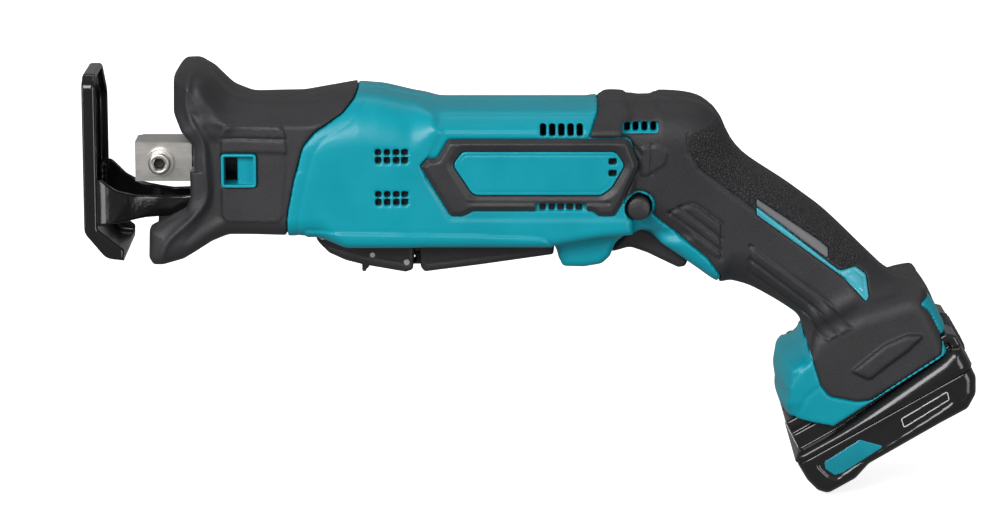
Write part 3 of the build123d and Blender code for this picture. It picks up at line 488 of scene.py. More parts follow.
# The grip's direction, and its half widths along it.
GRIP_WAY = (0.78, -0.62)
grip_widths = flowing([
    (128, 26.4), (146, 25.6), (160, 23.2), (180, 19.8), (205, 18.1), (234, 18.2), (262, 21), (290, 24),
], closed=False)


def crown(g, per=380):
    """How much lower the barrel's top lies towards its sides."""
    return np.where(g.z > 0, g.y * g.y / per, 0)


def barrel_field(g):
    """The barrel: rounded over the gear case, squarer and bevelled over the motor."""
    half = BARREL_HALF + 1.2 * ease((110 - g.x) / 18)
    side = flat(g.x, g.z, barrel_outline)
    squarer = ease((g.x - 98) / 14)
    top = side + crown(g) * (1 - squarer) + crown(g, 200) * squarer
    low_edge = 9 - 5.5 * ease((g.x - 64) / 10)
    form = both(top, np.abs(g.y) - half, np.where(g.z > 0, 17 - 14 * squarer, low_edge))
    return both(form, 0.58 * np.abs(g.y) + 0.815 * g.z - 29.5 - 9 * (1 - squarer), 1.2)


def guard_field(g):
    """The stub of a guard in front of the trigger."""
    return prism(g, guard_outline, GUARD_HALF, 3.5)


def grip_field(g):
    """The handle, waisted in the middle and bevelled along its back."""
    along = g.x * GRIP_WAY[0] + g.z * GRIP_WAY[1]
    half = np.interp(along, grip_widths[:, 0], grip_widths[:, 1])
    by_trigger = ease((g.x - 190) / 8) * ease((226 - g.x) / 8) * ease((-26 - g.z) / 6)
    form = prism(g, grip_outline, half, 15.5 - 9 * by_trigger)
    return both(form, 0.6 * np.abs(g.y) + 0.8 * g.z - 30.6, 1.5)


def in_pack(g):
    """The pack's own coordinates, along and up from its underside, of a grid in the frame."""
    dx, dz = g.x - PACK_ORIGIN[0], g.z - PACK_ORIGIN[1]
    c, s = math.cos(PACK_ANGLE), math.sin(PACK_ANGLE)
    return dx * c + dz * s, dz * c - dx * s


foot_outline = rounded([
    (6.3, 0), (6.3, 31.2, 1), (7.4, 41.3, 4), (11.4, 51.6, 6), (16, 57.4, 2), (27.5, 57.0, 4),
    (50, 56), (68, 52.2, 2), (76.2, 50.2, 2), (77.0, 42, 3), (76.6, 34, 4), (74.3, 24.2, 2),
    (74.3, 0),
])
foot_under = np.array([
    (-20, 53.9), (6.3, 31.2), (18.8, 20.4), (70.2, 23.6), (120, 26.7), (120, -60), (-20, -60),
])
foot_rubber = rounded([
    (27.4, 60), (23.8, 50.4, 3), (22.4, 37.4, 3), (23.4, 31.8, 3), (31.6, 24.6, 3), (36.6, 22.6, 1),
    (69.0, 24.4, 3), (71.6, 27.4, 5), (73.6, 33.4, 8), (74.2, 41.6, 6), (70.6, 49.2, 3), (80, 52),
    (80, 75), (27, 75),
])


def off_rubber(g, a, b):
    """Where the foot stays bare teal: its front, its rear strip and its lower edge."""
    front = rounded([(-20, -60), (22.6, -60), (22.6, 37, 3), (26.8, 57), (20, 61), (-20, 61)])
    rear = rounded([
        (70.4, 10), (72.0, 27.4, 4), (73.8, 33.4, 8), (74.4, 38.6), (76.4, 41.4), (99, 41), (99, 10),
    ])
    low = np.array([(-20, 0), (19.0, 21.4), (36.0, 22.5), (69.0, 24.9), (99, 24.9), (99, 0)])
    corner = rounded([
        (69.8, 10), (71.0, 27), (73.1, 32, 5), (73.6, 41.6, 8), (71.6, 46.6, 1), (80, 46.6), (99, 10),
    ])
    beside_lug = beyond(g, flat(a, b, corner), 15)
    across = np.minimum.reduce([flat(a, b, front), flat(a, b, rear), flat(a, b, low)])
    return np.minimum(across, beside_lug)


def foot_field(g):
    """The hood over the pack: bowed in front, with its front top corner low and sharp-edged."""
    a, b = in_pack(g)
    at_front = ease((31 - a) / 9) * ease((b - 33) / 8)
    bowed = a + 3.0 * (1 - (g.y / PACK_HALF) ** 2) * ease((34 - a) / 14)
    lowered = b + (5.2 + g.y * g.y / 260) * at_front
    half = PACK_HALF - 0.5 - 5 * ease((bowed - 66) / 14) ** 2
    form = both(flat(bowed, lowered, foot_outline), np.abs(g.y) - half, 7 - 4.5 * at_front)
    return cut(form, flat(a, b, foot_under), 0.8)


def outer_field(g):
    """The outside of the housing with its overmould, from the boot to the foot."""
    form = join(barrel_field(g), grip_field(g), 3.0)
    form = join(form, guard_field(g), 5.0)
    return join(form, foot_field(g), 9.0)


def nose_section(g):
    """Section of the housing's nose, which the boot covers."""
    return slab(g.y, g.z, (-25, -24.6), (25, 20.4), 13)


def slide_way(g):
    """The room that the pack's neck slides through."""
    a, b = in_pack(g)
    return within(g, slab(a, b, (-20, -10), (100, 31.2)), NECK_HALF + 0.7)


def trigger_room(g):
    """The opening that the trigger slides in."""
    outline = rounded([
        (174, -46), (179.4, -32.2), (183.2, -27), (187, -14), (198, -14), (221, -33), (213, -62),
        (174, -62),
    ])
    return within(g, flat(g.x, g.z, outline), TRIGGER_HALF + 1.0)


def paddle_room(g):
    """The opening under the barrel for the two levers."""
    outline = rounded([(57, -60), (57, -27.7), (70, -26.2), (100, -25.4), (156.0, -27.2), (156.0, -60)])
    return within(g, flat(g.x, g.z, outline), PADDLE_HALF + 0.9)


def holes(g, places, size, radius=0.5):
    """Upright rectangular holes at (x, z) centres."""
    width, height = size
    return np.minimum.reduce([
        slab(g.x, g.z, (x - width / 2, z - height / 2), (x + width / 2, z + height / 2), radius)
        for x, z in places
    ])


def cylinder_y(g, x, z, radius):
    """A round bar across the saw."""
    return np.sqrt((g.x - x) ** 2 + (g.z - z) ** 2) - radius


def groove(distance, depth, width):
    """How far a moulded line sinks the surface."""
    return depth * np.exp(-((distance / width) ** 2))


def raised(distance, height, edge=0.5):
    """How far an area stands proud, with sloped sides."""
    return height * ease(0.5 - distance / (2 * edge))


FRONT_VENT = (2.6, 2.7)
TOP_SLOT = (2.4, 4.6)
LOW_SLOT = (2.5, 2.7)
PLATE_SLOT = (3.2, 2.5)
BEHIND_PLATE_SLOT = (3.6, 3.0)
REAR_SLOT = (2.3, 3.2)
FRONT_VENTS = [(x, z) for x in (86.5, 89.9, 93.5, 96.7) for z in (7.6, 4.4, -9.0, -12.2)]
VENT_PITCH = 3.55
TOP_SLOTS = [(150.6 + VENT_PITCH * i, 15.9) for i in range(5)]
LOW_SLOTS = [(150.4 + VENT_PITCH * i, -14.3) for i in range(5)]
PLATE_SLOTS = [(177.6, 4.0), (177.6, -0.6)]
REAR_SLOTS = [(183.3 + 3.4 * i, 16.5) for i in range(4)]
SCREW_HEAD = 3.1
SCREWS = [  # x, z and the side distance of each screw's head
    (84.0, 21.5, 22.0), (107.5, 18.0, 22.0), (178.0, 16.5, 20.0), (168.5, -36.5, 6.5),
    (214.0, -30.0, 12.0), (236.0, -44.5, 11.0), (252.0, -78.0, 22.0), (298.0, -56.0, 22.0),
]
badge_outline = rounded([
    (102.8, 2.0, 1), (105.4, 5.2, 1), (109.2, 5.4, 1), (113.6, 12.9, 2), (184.0, 13.0, 3),
    (188.0, 2.2, 3), (181.6, -12.6, 2), (178.4, -17.9, 2), (172.0, -17.9, 2), (169.8, -15.9, 1),
    (123.2, -15.9, 1), (119.4, -17.9, 2), (114.4, -17.9, 2), (105.6, -3.2, 1),
])
plate_outline = rounded([
    (115.4, 2.7, 3), (119.2, 7.9, 3), (178.8, 7.9, 3), (182.4, 2.6, 3), (177.4, -6.3, 4),
    (173.4, -9.4, 4), (123.4, -9.4, 4),
])
step_outline = rounded([
    (106.0, 6.4), (111.2, 15.9, 2), (200, 15.9), (200, -19.6), (113.6, -19.6, 2), (104.4, -3.4),
])


def housing(left):
    """A housing half: teal shell with its vents, and room for the badge and the overmould."""
    g = Grid((13, -34, -112), (332, 0.6, 33), 0.72)
    outer = outer_field(g)
    region = flat(g.x, g.z, rubber_region)
    a, b = in_pack(g)
    region = np.minimum(region, flat(a, b, foot_rubber))
    region = cut(region, off_rubber(g, a, b))
    in_boot = flat(g.x, g.z, boot_region)
    relief = -groove(in_boot - 4.4, 0.35, 0.5)
    seam = [(58, -23.9), (122.7, -25.2), (150.2, -26.4), (155.4, -30.6)]
    relief = relief - groove(near_line(g.x, g.z, seam), 0.4, 0.55)
    lower_panel = np.array([*seam, (155.4, -40), (58, -40)], float)
    relief = relief + raised(flat(g.x, g.z, lower_panel), 0.7, 0.5)
    for crease in ([(26.9, 50), (18.2, 46.5), (12.2, 44.0)], [(23, 37.3), (15.7, 36.4), (8.4, 31.3)]):
        relief = relief - groove(near_line(a, b, crease), 0.5, 0.7)
    if left:
        relief = relief - raised(flat(g.x, g.z, step_outline), 0.5, 0.6)
    relief = relief - groove(near_line(g.x, g.z, [(112, 20.4), (172.4, 20.4)]), 0.25, 0.5)
    sides = ease((np.abs(g.y) - 16) / 6)
    exposed = both(outer + 0.15 - relief * sides, 0.25 - region, 0.4)
    form = np.minimum(exposed, outer + SKIN + 0.02)
    form = cut(form, outer + SKIN + WALL)
    collar = np.maximum(np.maximum(outer + 2.2, in_boot - 0.1), 44 - g.x)
    collar = np.maximum(collar, -(outer + 2.2 + WALL))
    nose = both(nose_section(g), np.maximum(NOSE_FRONT - g.x, g.x - 50), 1.0)
    hollow = np.maximum(nose_section(g) + WALL, NOSE_FRONT + WALL - g.x)
    mouth = slab(g.y, g.z, (-12.5, -23.6), (12.5, 12.5), 2)
    side_window = beyond(g, slab(g.x, g.z, (25.6, -6.2), (38.8, 6.5)), 15)
    nose = cut(cut(cut(nose, hollow), np.maximum(mouth, g.x - 30)), side_window)
    form = np.minimum(np.minimum(cut(form, in_boot - 0.2), collar), nose)
    form = cut(form, slide_way(g))
    form = cut(form, trigger_room(g))
    form = cut(form, paddle_room(g))
    gear_room = slab(g.y, g.z, (-24.1, -25.3), (24.1, 13.1))
    form = cut(form, np.maximum(gear_room, np.maximum(45.8 - g.x, g.x - 104.2)))
    vents = np.minimum.reduce([
        holes(g, FRONT_VENTS, FRONT_VENT),
        holes(g, TOP_SLOTS, TOP_SLOT),
        holes(g, LOW_SLOTS, LOW_SLOT),
        holes(g, PLATE_SLOTS, BEHIND_PLATE_SLOT),
        holes(g, REAR_SLOTS, REAR_SLOT),
    ])
    form = cut(form, beyond(g, vents, 15))
    form = cut(form, cylinder_y(g, BUTTON[0], BUTTON[1] + 0.3, 5.5))
    if left:
        badge_seat = both(flat(g.x, g.z, badge_outline) - 0.2, g.y + BARREL_HALF - 1.2, 0.2)
        form = cut(form, badge_seat)
    else:
        for x, z, seat in SCREWS:
            form = cut(form, beyond(g, cylinder_y(g, x, z, SCREW_HEAD), seat - 2.6))
    form = both(form, g.y + 0.08, 0.35)
    side = "left" if left else "right"
    name = "housing_%s_shell" % side
    piece(name, g, form, "saw_body", "teal_plastic", ["housing_" + side], mirror=not left)


def overmould(left):
    """A half of the rubber grip: moulded lines, pads and a leather-grained back."""
    g = Grid((165, -35, -112), (332, 0.6, 33), 0.6)
    outer = outer_field(g)
    a, b = in_pack(g)
    on_grip = np.minimum(flat(g.x, g.z, rubber_region), flat(a, b, foot_rubber))
    u, v = g.x, g.z
    grooves = [
        [(206.9, 13.6), (207.6, 6.4), (211.6, -0.6), (234.2, -17.9)],
        [(168, 12.8), (183.4, 12.8), (188.6, 6.0)],
        [(204.4, -15.8), (220.4, -28.7)],
        [(200.2, -18.0), (220.4, -33.6)],
        [(200.2, -18.0), (204.4, -15.8), (209.1, -14.5), (212.4, -16.2), (220.8, -22.9), (220.8, -37)],
        [(232.4, -31.8), (271.1, -61.0)],
        [(232.4, -37.4), (266.2, -63.5)],
        [(232.4, -31.8), (232.4, -43.0), (262.2, -65.5)],
    ]
    sink = sum(groove(near_line(u, v, line), 0.8, 0.6) for line in grooves)
    tab = rounded([
        (189, -2.4), (189, 8.9, 1), (196, 9.3, 3), (199, 7.2, 2), (198.4, 2.2, 3), (191.4, -2.3, 1),
    ])
    tab_line = near_line(u, v, [(192.7, 9.4), (192.7, -2)])
    relief = raised(flat(u, v, tab), 0.7, 0.4) - groove(tab_line, 0.8, 0.5)
    scoop = rounded([(183.0, 27), (196.5, 27), (195.6, 22.0, 1), (184.2, 22.0, 1)])
    relief = relief - raised(flat(u, v, scoop), 0.7, 0.7)
    pad = rounded([*grooves[4], (214, -33)])
    relief = relief + raised(flat(u, v, pad), 0.6, 0.6)
    low_pad = rounded([(232.4, -31.0), (272, -61.6), (262, -67), (232.4, -45)])
    relief = relief + raised(flat(u, v, low_pad), 0.7, 0.6)
    relief = relief + raised(flat(u, v, leather_region), 0.25, 0.5)
    band = ease((np.abs(g.y) - 8) / 5)
    form = both(outer - (relief - sink) * band, on_grip + 0.15, 0.7)
    form = cut(form, off_rubber(g, a, b))
    rib_outline = rounded([
        (35.6, 36.8, 1), (40, 30.2, 2), (48.8, 31.6, 6), (59.1, 32.9, 6), (67.6, 35.2, 1),
        (61.5, 38.8, 4), (52, 39.6, 6),
    ])
    rib = both(outer - 1.9, flat(a, b, rib_outline), 1.6)
    form = join(form, both(rib, 20 - np.abs(g.y), 0.5), 0.8)
    form = cut(form, outer + SKIN)
    form = cut(form, slide_way(g))
    form = cut(form, trigger_room(g))
    frame_hole = slab(g.x, g.z, (181.4, 14.1), (195.5, 18.7), 0.8)
    form = cut(form, beyond(g, frame_hole, 12))
    form = cut(form, cylinder_y(g, BUTTON[0], BUTTON[1] + 0.3, 6.3))
    stripes = np.minimum(flat(u, v, STRIPE), flat(u, v, GREY_STRIPE)) - 0.1
    form = cut(form, beyond(g, stripes, 8))
    if left:
        form = cut(form, both(flat(g.x, g.z, badge_outline) - 0.05, 20 - np.abs(g.y), 0.1))
    else:
        for x, z, _ in SCREWS:
            form = cut(form, beyond(g, cylinder_y(g, x, z, SCREW_HEAD + 0.3), 5))
    form = both(form, g.y + 0.06, 0.3)
    side = "left" if left else "right"
    name = "grip_overmould_%s_skin" % side
    piece(name, g, form, "saw_body", "charcoal_rubber", ["grip_overmould_" + side],
          marks=lambda x, y, z: ease(-flat(x, z, leather_region)), mirror=not left)


STRIPE = rounded([
    (234.4, -16.2, 0.4), (267.0, -41.6, 1), (268.6, -41.9, 1), (273.8, -40.6, 1.5), (278.2, -43.8, 2),
    (279.0, -51.8, 1), (277.6, -53.4, 1), (268.2, -44.0, 2), (234.6, -19.6, 0.4),
])
GREY_STRIPE = rounded([
    (234.4, -12.9, 0.4), (258.9, -29.6, 1), (263.0, -33.0, 1), (263.2, -37.6, 1), (234.4, -15.8, 0.4),
])


def stripe(outline, lift):
    """An inlaid stripe of the grip, about flush with the rubber."""
    g = Grid((232, -24, -56), (281, -4, -10), 0.45)
    outer = outer_field(g)
    form = both(outer - lift, flat(g.x, g.z, outline) + 0.05, 0.35)
    inner = rounded([
        (269.2, -43.4), (273.8, -42.0), (277.0, -44.6), (277.6, -50.8), (276, -49.6), (269.2, -44.6),
    ])
    form = form + groove(np.abs(flat(g.x, g.z, inner)), 0.35, 0.35)
    return g, cut(form, outer + SKIN - 0.05)


def boot():
    """The rubber nose: a flared lip, hollow cheeks, ridges, embossed pads and a window each side."""
    outline = rounded([
        (5.8, 34.0, 2), (8.6, 38.6, 3), (15.0, 38.9, 6), (21, 35.6, 6), (28.6, 28.4, 8),
        (36, 25.4, 10), (56, 25.6, 20), (79.4, 29.8), (79.4, 26), (79, -26.5), (27.6, -26.5, 8),
        (21, -29.0, 6), (10, -35.6, 6), (2, -37.9, 4), (-2.0, -37.9, 2), (-3.6, -35, 2),
        (-3.2, -23.2, 2), (11.3, -15.8, 3), (13.2, -10.5, 4), (12.9, 8.4, 4), (8.6, 13.6, 6),
        (5.6, 21.0, 6),
    ])
    g = Grid((-5, -34, -41), (81, 34, 41), 0.58)
    u, v = g.x, g.z
    half = 31.0 - 3.4 * ease((g.x - 12) / 16) + 2.0 * ease((g.x - 34) / 20)
    side = flat(u, v, outline)
    turn = 4.5 + 10.5 * ease((g.z - 14) / 9) + 2.5 * ease((-g.z - 14) / 9)
    form = both(side + crown(g), np.abs(g.y) - half, turn)
    front_edge = flowing([
        (12.9, 40), (12.9, 35.2), (12.4, 24.1), (18.4, 12.4), (19.4, 0), (18.6, -13.2), (3.5, -29.1),
        (2, -44),
    ], closed=False)
    lip = near_line(u, v, front_edge)
    sides = ease((np.abs(g.y) - 18) / 6)
    relief = 1.5 * np.exp(-((lip / 1.5) ** 2))
    cheek = near_line(u, v, [(17.2, 33), (19.6, 27), (27.6, 17.6)])
    relief = relief + 1.7 * np.exp(-((cheek / 2.6) ** 2))
    hollow = rounded([
        (14.6, 22), (20.5, 13.5, 3), (24.6, 12, 3), (24.8, -19, 3), (8, -31, 4), (20.6, -13, 4),
        (21.4, 0),
    ])
    relief = relief - raised(flat(u, v, hollow), 1.5, 2.5)
    upper_pad = rounded([
        (25.6, 7.4), (25.6, 15, 3), (28.0, 18.2, 2), (48.0, 18.2, 2), (50.4, 15.6, 2), (50.9, 7.4),
    ])
    lower_pad = rounded([
        (25.4, 7.4), (50.4, 7.4), (49.3, -17.6, 2), (47.6, -20.4, 2), (27.6, -20.4, 2), (25.4, -18, 2),
    ])
    relief = relief + raised(flat(u, v, upper_pad), 1.2, 0.5) + raised(flat(u, v, lower_pad), 0.6, 0.4)
    relief = relief - groove(near_line(u, v, [(25.6, 12.7), (50.6, 12.7)]), 0.8, 0.5)
    form = form - relief * sides * ease(-side / 3.5)
    form = both(form, flat(u, v, boot_region) + 0.25, 0.8)
    form = cut(form, slab(g.y, g.z, (-18.4, -31), (18.4, 15.5), 7), 1.5)
    form = cut(form, np.maximum(nose_section(g) - 0.15, NOSE_FRONT - 0.2 - g.x))
    window = slab(u, v, (25.2, -6.6), (39.2, 6.9), 1.2)
    form = cut(form, beyond(g, window, 17))
    return g, form


def boot_frame():
    """The teal frame that lines the boot's window, with the gear case's wall behind half of it."""
    g = Grid((22, -31, -10), (42, -16, 10), 0.4)
    ring = np.abs(slab(g.x, g.z, (25.9, -5.9), (38.5, 6.2), 0.8)) - 0.55
    form = both(ring, np.maximum(-29.6 - g.y, g.y + 18), 0.25)
    wall = both(slab(g.x, g.z, (31.6, -6), (38.6, 6.3)), np.maximum(-26.6 - g.y, g.y + 24), 0.2)
    return g, np.minimum(form, wall)


def badge():
    """The badge's dark frame with its sloped border, and the teal plate, left plain."""
    g = Grid((100, -33, -20), (191, -26, 15), 0.42)
    out = flat(g.x, g.z, badge_outline)
    plate = flat(g.x, g.z, plate_outline)
    bevel = 1.5 * ease(-(out + 0.2) / 2.2) - 1.1 * ease(1.0 - plate / 3.2)
    ledge = groove(near_line(g.x, g.z, [(122, -12.3), (176, -12.3)]), -0.5, 0.8)
    front = -(g.y + BARREL_HALF + 0.4 + bevel + ledge)
    form = both(both(front, out + 0.15, 0.5), g.y + BARREL_HALF - 1.0, 0.2)
    form = cut(form, plate - 0.15)
    form = cut(form, holes(g, LOW_SLOTS, LOW_SLOT))
    form = cut(form, both(slab(g.x, g.z, (147.6, -16.6), (167.6, -12.6), 0.6), -32 - g.y, 0.1))
    piece("badge_frame", g, form, "saw_body", "charcoal_plastic", ["badge_panel"])
    inset = both(plate + 0.1, -(g.y + BARREL_HALF + 1.3), 0.5)
    inset = both(inset, g.y + BARREL_HALF - 0.9, 0.2)
    inset = inset + groove(np.abs(plate + 1.4), 0.25, 0.35)
    inset = cut(inset, holes(g, PLATE_SLOTS, PLATE_SLOT))
    piece("badge_plate", g, inset, "saw_body", "teal_plastic")


def vent_shade_sheet():
    """A solid black sheet behind the side vents: painted shade that keeps the vents dark."""
    g = Grid((81, -27, -18.5), (198, -23, 20.5), 0.6)
    front_part = slab(g.x, g.z, (82, -16.4), (101, 11.4), 1.5)
    rear_part = slab(g.x, g.z, (146.6, -17.6), (181, 12.4), 1.5)
    form = both(np.minimum(front_part, rear_part), np.abs(g.y + 25.2) - 0.55, 0.3)
    return g, cut(form, slab(g.x, g.z, (149, -12), (166, 8), 2))


# Painted shade: a black sheet behind the vents on each side.
on_both_sides("vent_shade_sheet", *vent_shade_sheet(), "saw_body", "black_plastic")
for is_left in (True, False):
    housing(is_left)
    overmould(is_left)
on_both_sides("stripe_teal", *stripe(STRIPE, 0.1), "saw_body", "stripe_teal", slot="teal_plastic")
on_both_sides("stripe_grey", *stripe(GREY_STRIPE, 0.3), "saw_body", "grey_stripe",
              slot="charcoal_rubber")
piece("boot_skin", *boot(), "saw_body", "charcoal_rubber", ["front_boot"], marks=lambda x, y, z: 0 * x)
on_both_sides("boot_window", *boot_frame(), "saw_body", "teal_plastic")
badge()

# ---------------------------------------------------------------- battery pack, in its own frame


def pack_grid(low, high, step):
    """A grid whose x runs along the pack and whose z runs up from its underside."""
    return Grid(low, high, step, PACK_ORIGIN, PACK_ANGLE)


def button_room(g):
    """The room in both cases for the release button."""
    return within(g, slab(g.x, g.z, (73.5, 10.95), (81.5, 30.55)), 10.4)


def battery_lower():
    """The lower case: a glossy tray with a sunk panel on each side for the label."""
    outline = rounded([
        (-1.2, 30.0), (-0.9, 6), (0.6, 0.2, 3), (3.6, -3.0, 4), (16, -3.0, 5), (23.4, -0.4, 5),
        (56, 0.0, 10), (68, -0.2, 4), (73.6, 3.4, 5), (77.0, 9.6, 4), (77.5, 30.0),
    ])
    g = pack_grid((-3.1, -35.1, -5.1), (80, 35.1, 16), 0.5)
    form = prism(g, outline, PACK_HALF, 4.5)
    panel = rounded([
        (5.4, 9.8, 2), (9.0, 11.8, 2), (62.6, 12.6, 3), (66.4, 9.4, 3), (64.4, 5.6, 2),
        (57.1, 4.6, 4), (14, 1.7, 3), (9.8, 0.9, 2), (7.0, 4.0, 2),
    ])
    sides = ease((np.abs(g.y) - 26) / 4)
    form = form + raised(flat(g.x, g.z, panel), 0.55, 0.4) * sides
    form = cut(form, within(g, slab(g.x, g.z, (2.8, 2), (69.2, 16)), NECK_HALF))
    form = cut(form, button_room(g))
    return g, both(form, g.z - 13.95, 0.4)


def battery_upper():
    """The upper case: a swelling rim along each side, and the narrower neck that goes in the hood."""
    g = pack_grid((-3.1, -35.6, 12.4), (80.5, 35.6, 32), 0.5)
    skirt = rounded([
        (-1.3, 0), (-1.2, 15.4, 1), (1.4, 18.0, 2), (20, 18.0, 5), (68.6, 23.2, 5), (74, 25.0, 3),
        (77.6, 23.4, 1), (77.9, 0),
    ])
    swell = 1.5 * ease((g.z - 13.2) / 3.4)
    form = both(flat(g.x, g.z, skirt), np.abs(g.y) - (PACK_HALF + 0.05 + swell), 5.0)
    neck = rounded([(2, 12), (3, 30.4, 1), (75, 30.4, 2), (78, 27.6, 1), (78, 12)])
    form = np.minimum(form, prism(g, neck, NECK_HALF, 1.2))
    rail = beyond(g, slab(g.x, g.z, (-2, 24.4), (74, 26.8), 0.6), 26.9)
    form = cut(form, rail)
    form = cut(form, within(g, slab(g.x, g.z, (2.8, 12), (69.2, 26.5)), 25.2))
    for y in (-8, 0):
        form = cut(form, np.maximum(slab(g.x, g.z, (-4, 27.0), (33, 34)), np.abs(g.y - y) - 0.9))
    form = cut(form, button_room(g))
    return g, both(form, 14.05 - g.z, 0.4)


def release_button():
    """The release button at the pack's rear, with finger ribs."""
    g = pack_grid((73, -11, 14.5), (80, 11, 30), 0.35)
    form = both(slab(g.x, g.z, (74.4, 15.8), (78.9, 28.6), 1.2), np.abs(g.y) - 9.9, 1.2)
    form = form + 0.35 * (0.5 + 0.5 * np.cos(g.z * 2 * np.pi / 2.1)) * ease((g.x - 77) / 0.6)
    spring_way = np.maximum(np.sqrt((g.x - 75.8) ** 2 + g.y**2) - 2.0, g.z - 19.8)
    return g, cut(form, spring_way)


def label_layer(g, outline):
    """A thin layer of the outline's shape in the sunk panel of the pack's left side."""
    return g, both(outline, np.abs(g.y + PACK_HALF - 0.5) - 0.22, 0.1)


def label_patch():
    """The label's coloured patch, with no lettering."""
    g = pack_grid((4, -34, 0), (68, -31.6, 13), 0.3)
    patch = rounded([
        (8.6, 9.9, 1), (25.2, 10.9, 1), (32.4, 3.6, 1), (13, 2.3, 1), (9.6, 3.0, 1), (7.6, 7.2, 1),
    ])
    return label_layer(g, flat(g.x, g.z, patch))


def label_bar():
    """The label's pale bar: a fine empty outline."""
    g = pack_grid((4, -34, 0), (68, -31.6, 13), 0.3)
    bar = rounded([(43.4, 9.9, 0.6), (64.2, 10.6, 0.6), (63.4, 7.4, 0.6), (42.6, 6.4, 0.6)])
    return label_layer(g, np.abs(flat(g.x, g.z, bar)) - 0.28)


def front_label():
    """A pale outline on the slanted front of the pack's neck."""
    g = pack_grid((0.5, -25, 15), (4, 25, 30), 0.3)
    form = near_line(g.x, g.z, [(1.95, 15.8), (2.75, 28.8)]) - 0.28
    return g, both(form, slab(g.y, g.z, (-24, 16), (24, 28.6), 2), 0.1)


piece("battery_lower_case", *battery_lower(), "battery", "gloss_black", ["battery_case_lower"])
piece("battery_upper_case", *battery_upper(), "battery", "gloss_black", ["battery_case_upper"])
piece("battery_release", *release_button(), "battery_button", "charcoal_plastic", ["battery_button"])
piece("front_label", *front_label(), "battery", "label_pale", slot="label_film")
patch = label_patch()
bar = label_bar()
piece("label_patch_left", *patch, "battery", "label_film", ["battery_label"])
piece("label_bar_left", *bar, "battery", "label_pale", slot="label_film")
piece("label_patch_right", *patch, "battery", "label_film", mirror=True)
piece("label_bar_right", *bar, "battery", "label_pale", slot="label_film", mirror=True)

# ---------------------------------------------------------------- shoe

shoe_low, shoe_high = box_mm("shoe_plate")
SHOE_FRONT = shoe_low[0]
SHOE_HALF = shoe_high[1]


def shoe_face(y, z):
    """Signed distance to the plate's outline, seen from the front."""
    outline = rounded([(-26, -21), (-26, 33.5, 4), (-21, 37, 4), (8, 37, 6), (26, 24, 8), (26, -21)])
    return flat(y, z, outline)


def shoe_plate():
    """Pressed plate with a rolled flange all round, its foot bent back as an open tray."""
    g = Grid((SHOE_FRONT - 1.13, -27.37, -38.21), (-11.5, 27.5, 38.5), 0.47)
    face = shoe_face(g.y, g.z)
    foot_side = rounded([
        (SHOE_FRONT, -18), (SHOE_FRONT, -25.4, 5), (-20.4, -35.6, 6), (-13.4, -36.4), (-13.2, -32, 1),
        (-23.4, -23.9), (-23.4, -18),
    ])
    inner_side = rounded([
        (SHOE_FRONT + SHEET, -16), (SHOE_FRONT + SHEET, -24.9, 4), (-19.7, -33.9, 5), (-11, -34.8),
        (-11, -16),
    ])
    outer = both(face, np.maximum(SHOE_FRONT - g.x, g.x + 23.4), 1.3)
    outer = np.minimum(outer, prism(g, foot_side, SHOE_HALF, 1.3))
    inner = both(face + SHEET, SHOE_FRONT + SHEET - g.x, 1.2)
    inner = np.minimum(inner, both(flat(g.x, g.z, inner_side), np.abs(g.y) - SHOE_HALF + SHEET, 1.2))
    form = cut(outer, inner)
    return g, cut(form, slab(g.y, g.z, (-8, -15), (8, 25), 4), 0.6)


def shoe_arms():
    """Two sheet arms that sweep in from the plate's edges to the pivot, with their weld beads."""
    g = Grid((-29.1, -26.43, -24.57), (30, 26.5, -3), 0.45)
    plan = flowing([
        (-27.0, 23.9), (-21, 22.6), (-10, 15.2), (0, 10.8), (10, 9.75), (20, 9.75), (29.5, 9.75),
    ], closed=False)
    sheet = near_line(g.x, np.abs(g.y), plan) - SHEET / 2
    side = rounded([
        (-27.0, -5.2), (-22.3, -4.4, 3), (-16, -9.6, 6), (-9, -12.2, 8), (4, -13.6, 10),
        (20, -12.8, 5), (27, -12.4, 4), (28.6, -17, 3), (26, -21.8, 4), (10, -21.4), (-6, -21.4, 8),
        (-14, -22.4, 8), (-27.0, -23.0),
    ])
    form = both(sheet, flat(g.x, g.z, side), 0.5)
    bridge = within(g, slab(g.x, g.z, (2, -21.6), (14, -20.0), 0.4), 9.2)
    form = np.minimum(form, bridge)
    form = cut(form, cylinder_y(g, 24.0, -17.0, 2.1))
    ripple = 1.35 + 0.22 * np.cos(g.z * 2.6)
    bead = np.sqrt((g.x + 26.2) ** 2 + (np.abs(g.y) - 22.6) ** 2) - ripple
    return g, join(form, both(bead, np.abs(g.z + 14) - 7.6, 1.2), 0.5)


piece("shoe_pressing", *shoe_plate(), "shoe", "shoe_paint", ["shoe_plate"])
piece("shoe_arm_pair", *shoe_arms(), "shoe", "shoe_paint", ["shoe_arms"])

# ---------------------------------------------------------------- paddles and trigger


def front_paddle():
    """The front lever: a curved shell, open in the middle for the lock-off lever and the link."""
    outline = rounded([
        (60.9, -29.4, 1.2), (62.4, -31.8, 3), (66.2, -36.0, 5), (73, -39.1, 6), (80, -40.9, 10),
        (96.6, -43.8, 1.4), (99.5, -42.8, 1.4), (100, -32.2), (84, -31.0), (67, -28.2, 2),
        (63.6, -27.9, 1.5),
    ])
    g = Grid((59.5, -14, -45), (101.5, 14, -26.5), 0.42)
    form = prism(g, outline, PADDLE_HALF, np.where(g.z < -34, 1.6, 0.6))
    form = cut(form, both(slab(g.x, g.z, (75.5, -50), (110, -20)), np.abs(g.y) - 5, 0.1))
    line = near_line(g.x, g.z, [(66, -33.4), (80, -37.4), (98, -40.4)])
    form = form + groove(line, 0.3, 0.45) * ease((np.abs(g.y) - 9) / 2)
    for x, z, radius in ((64, -29, 1.55), (97, -39.6, 1.15), (83.5, -36.8, 1.0)):
        form = cut(form, cylinder_y(g, x, z, radius))
    return g, form


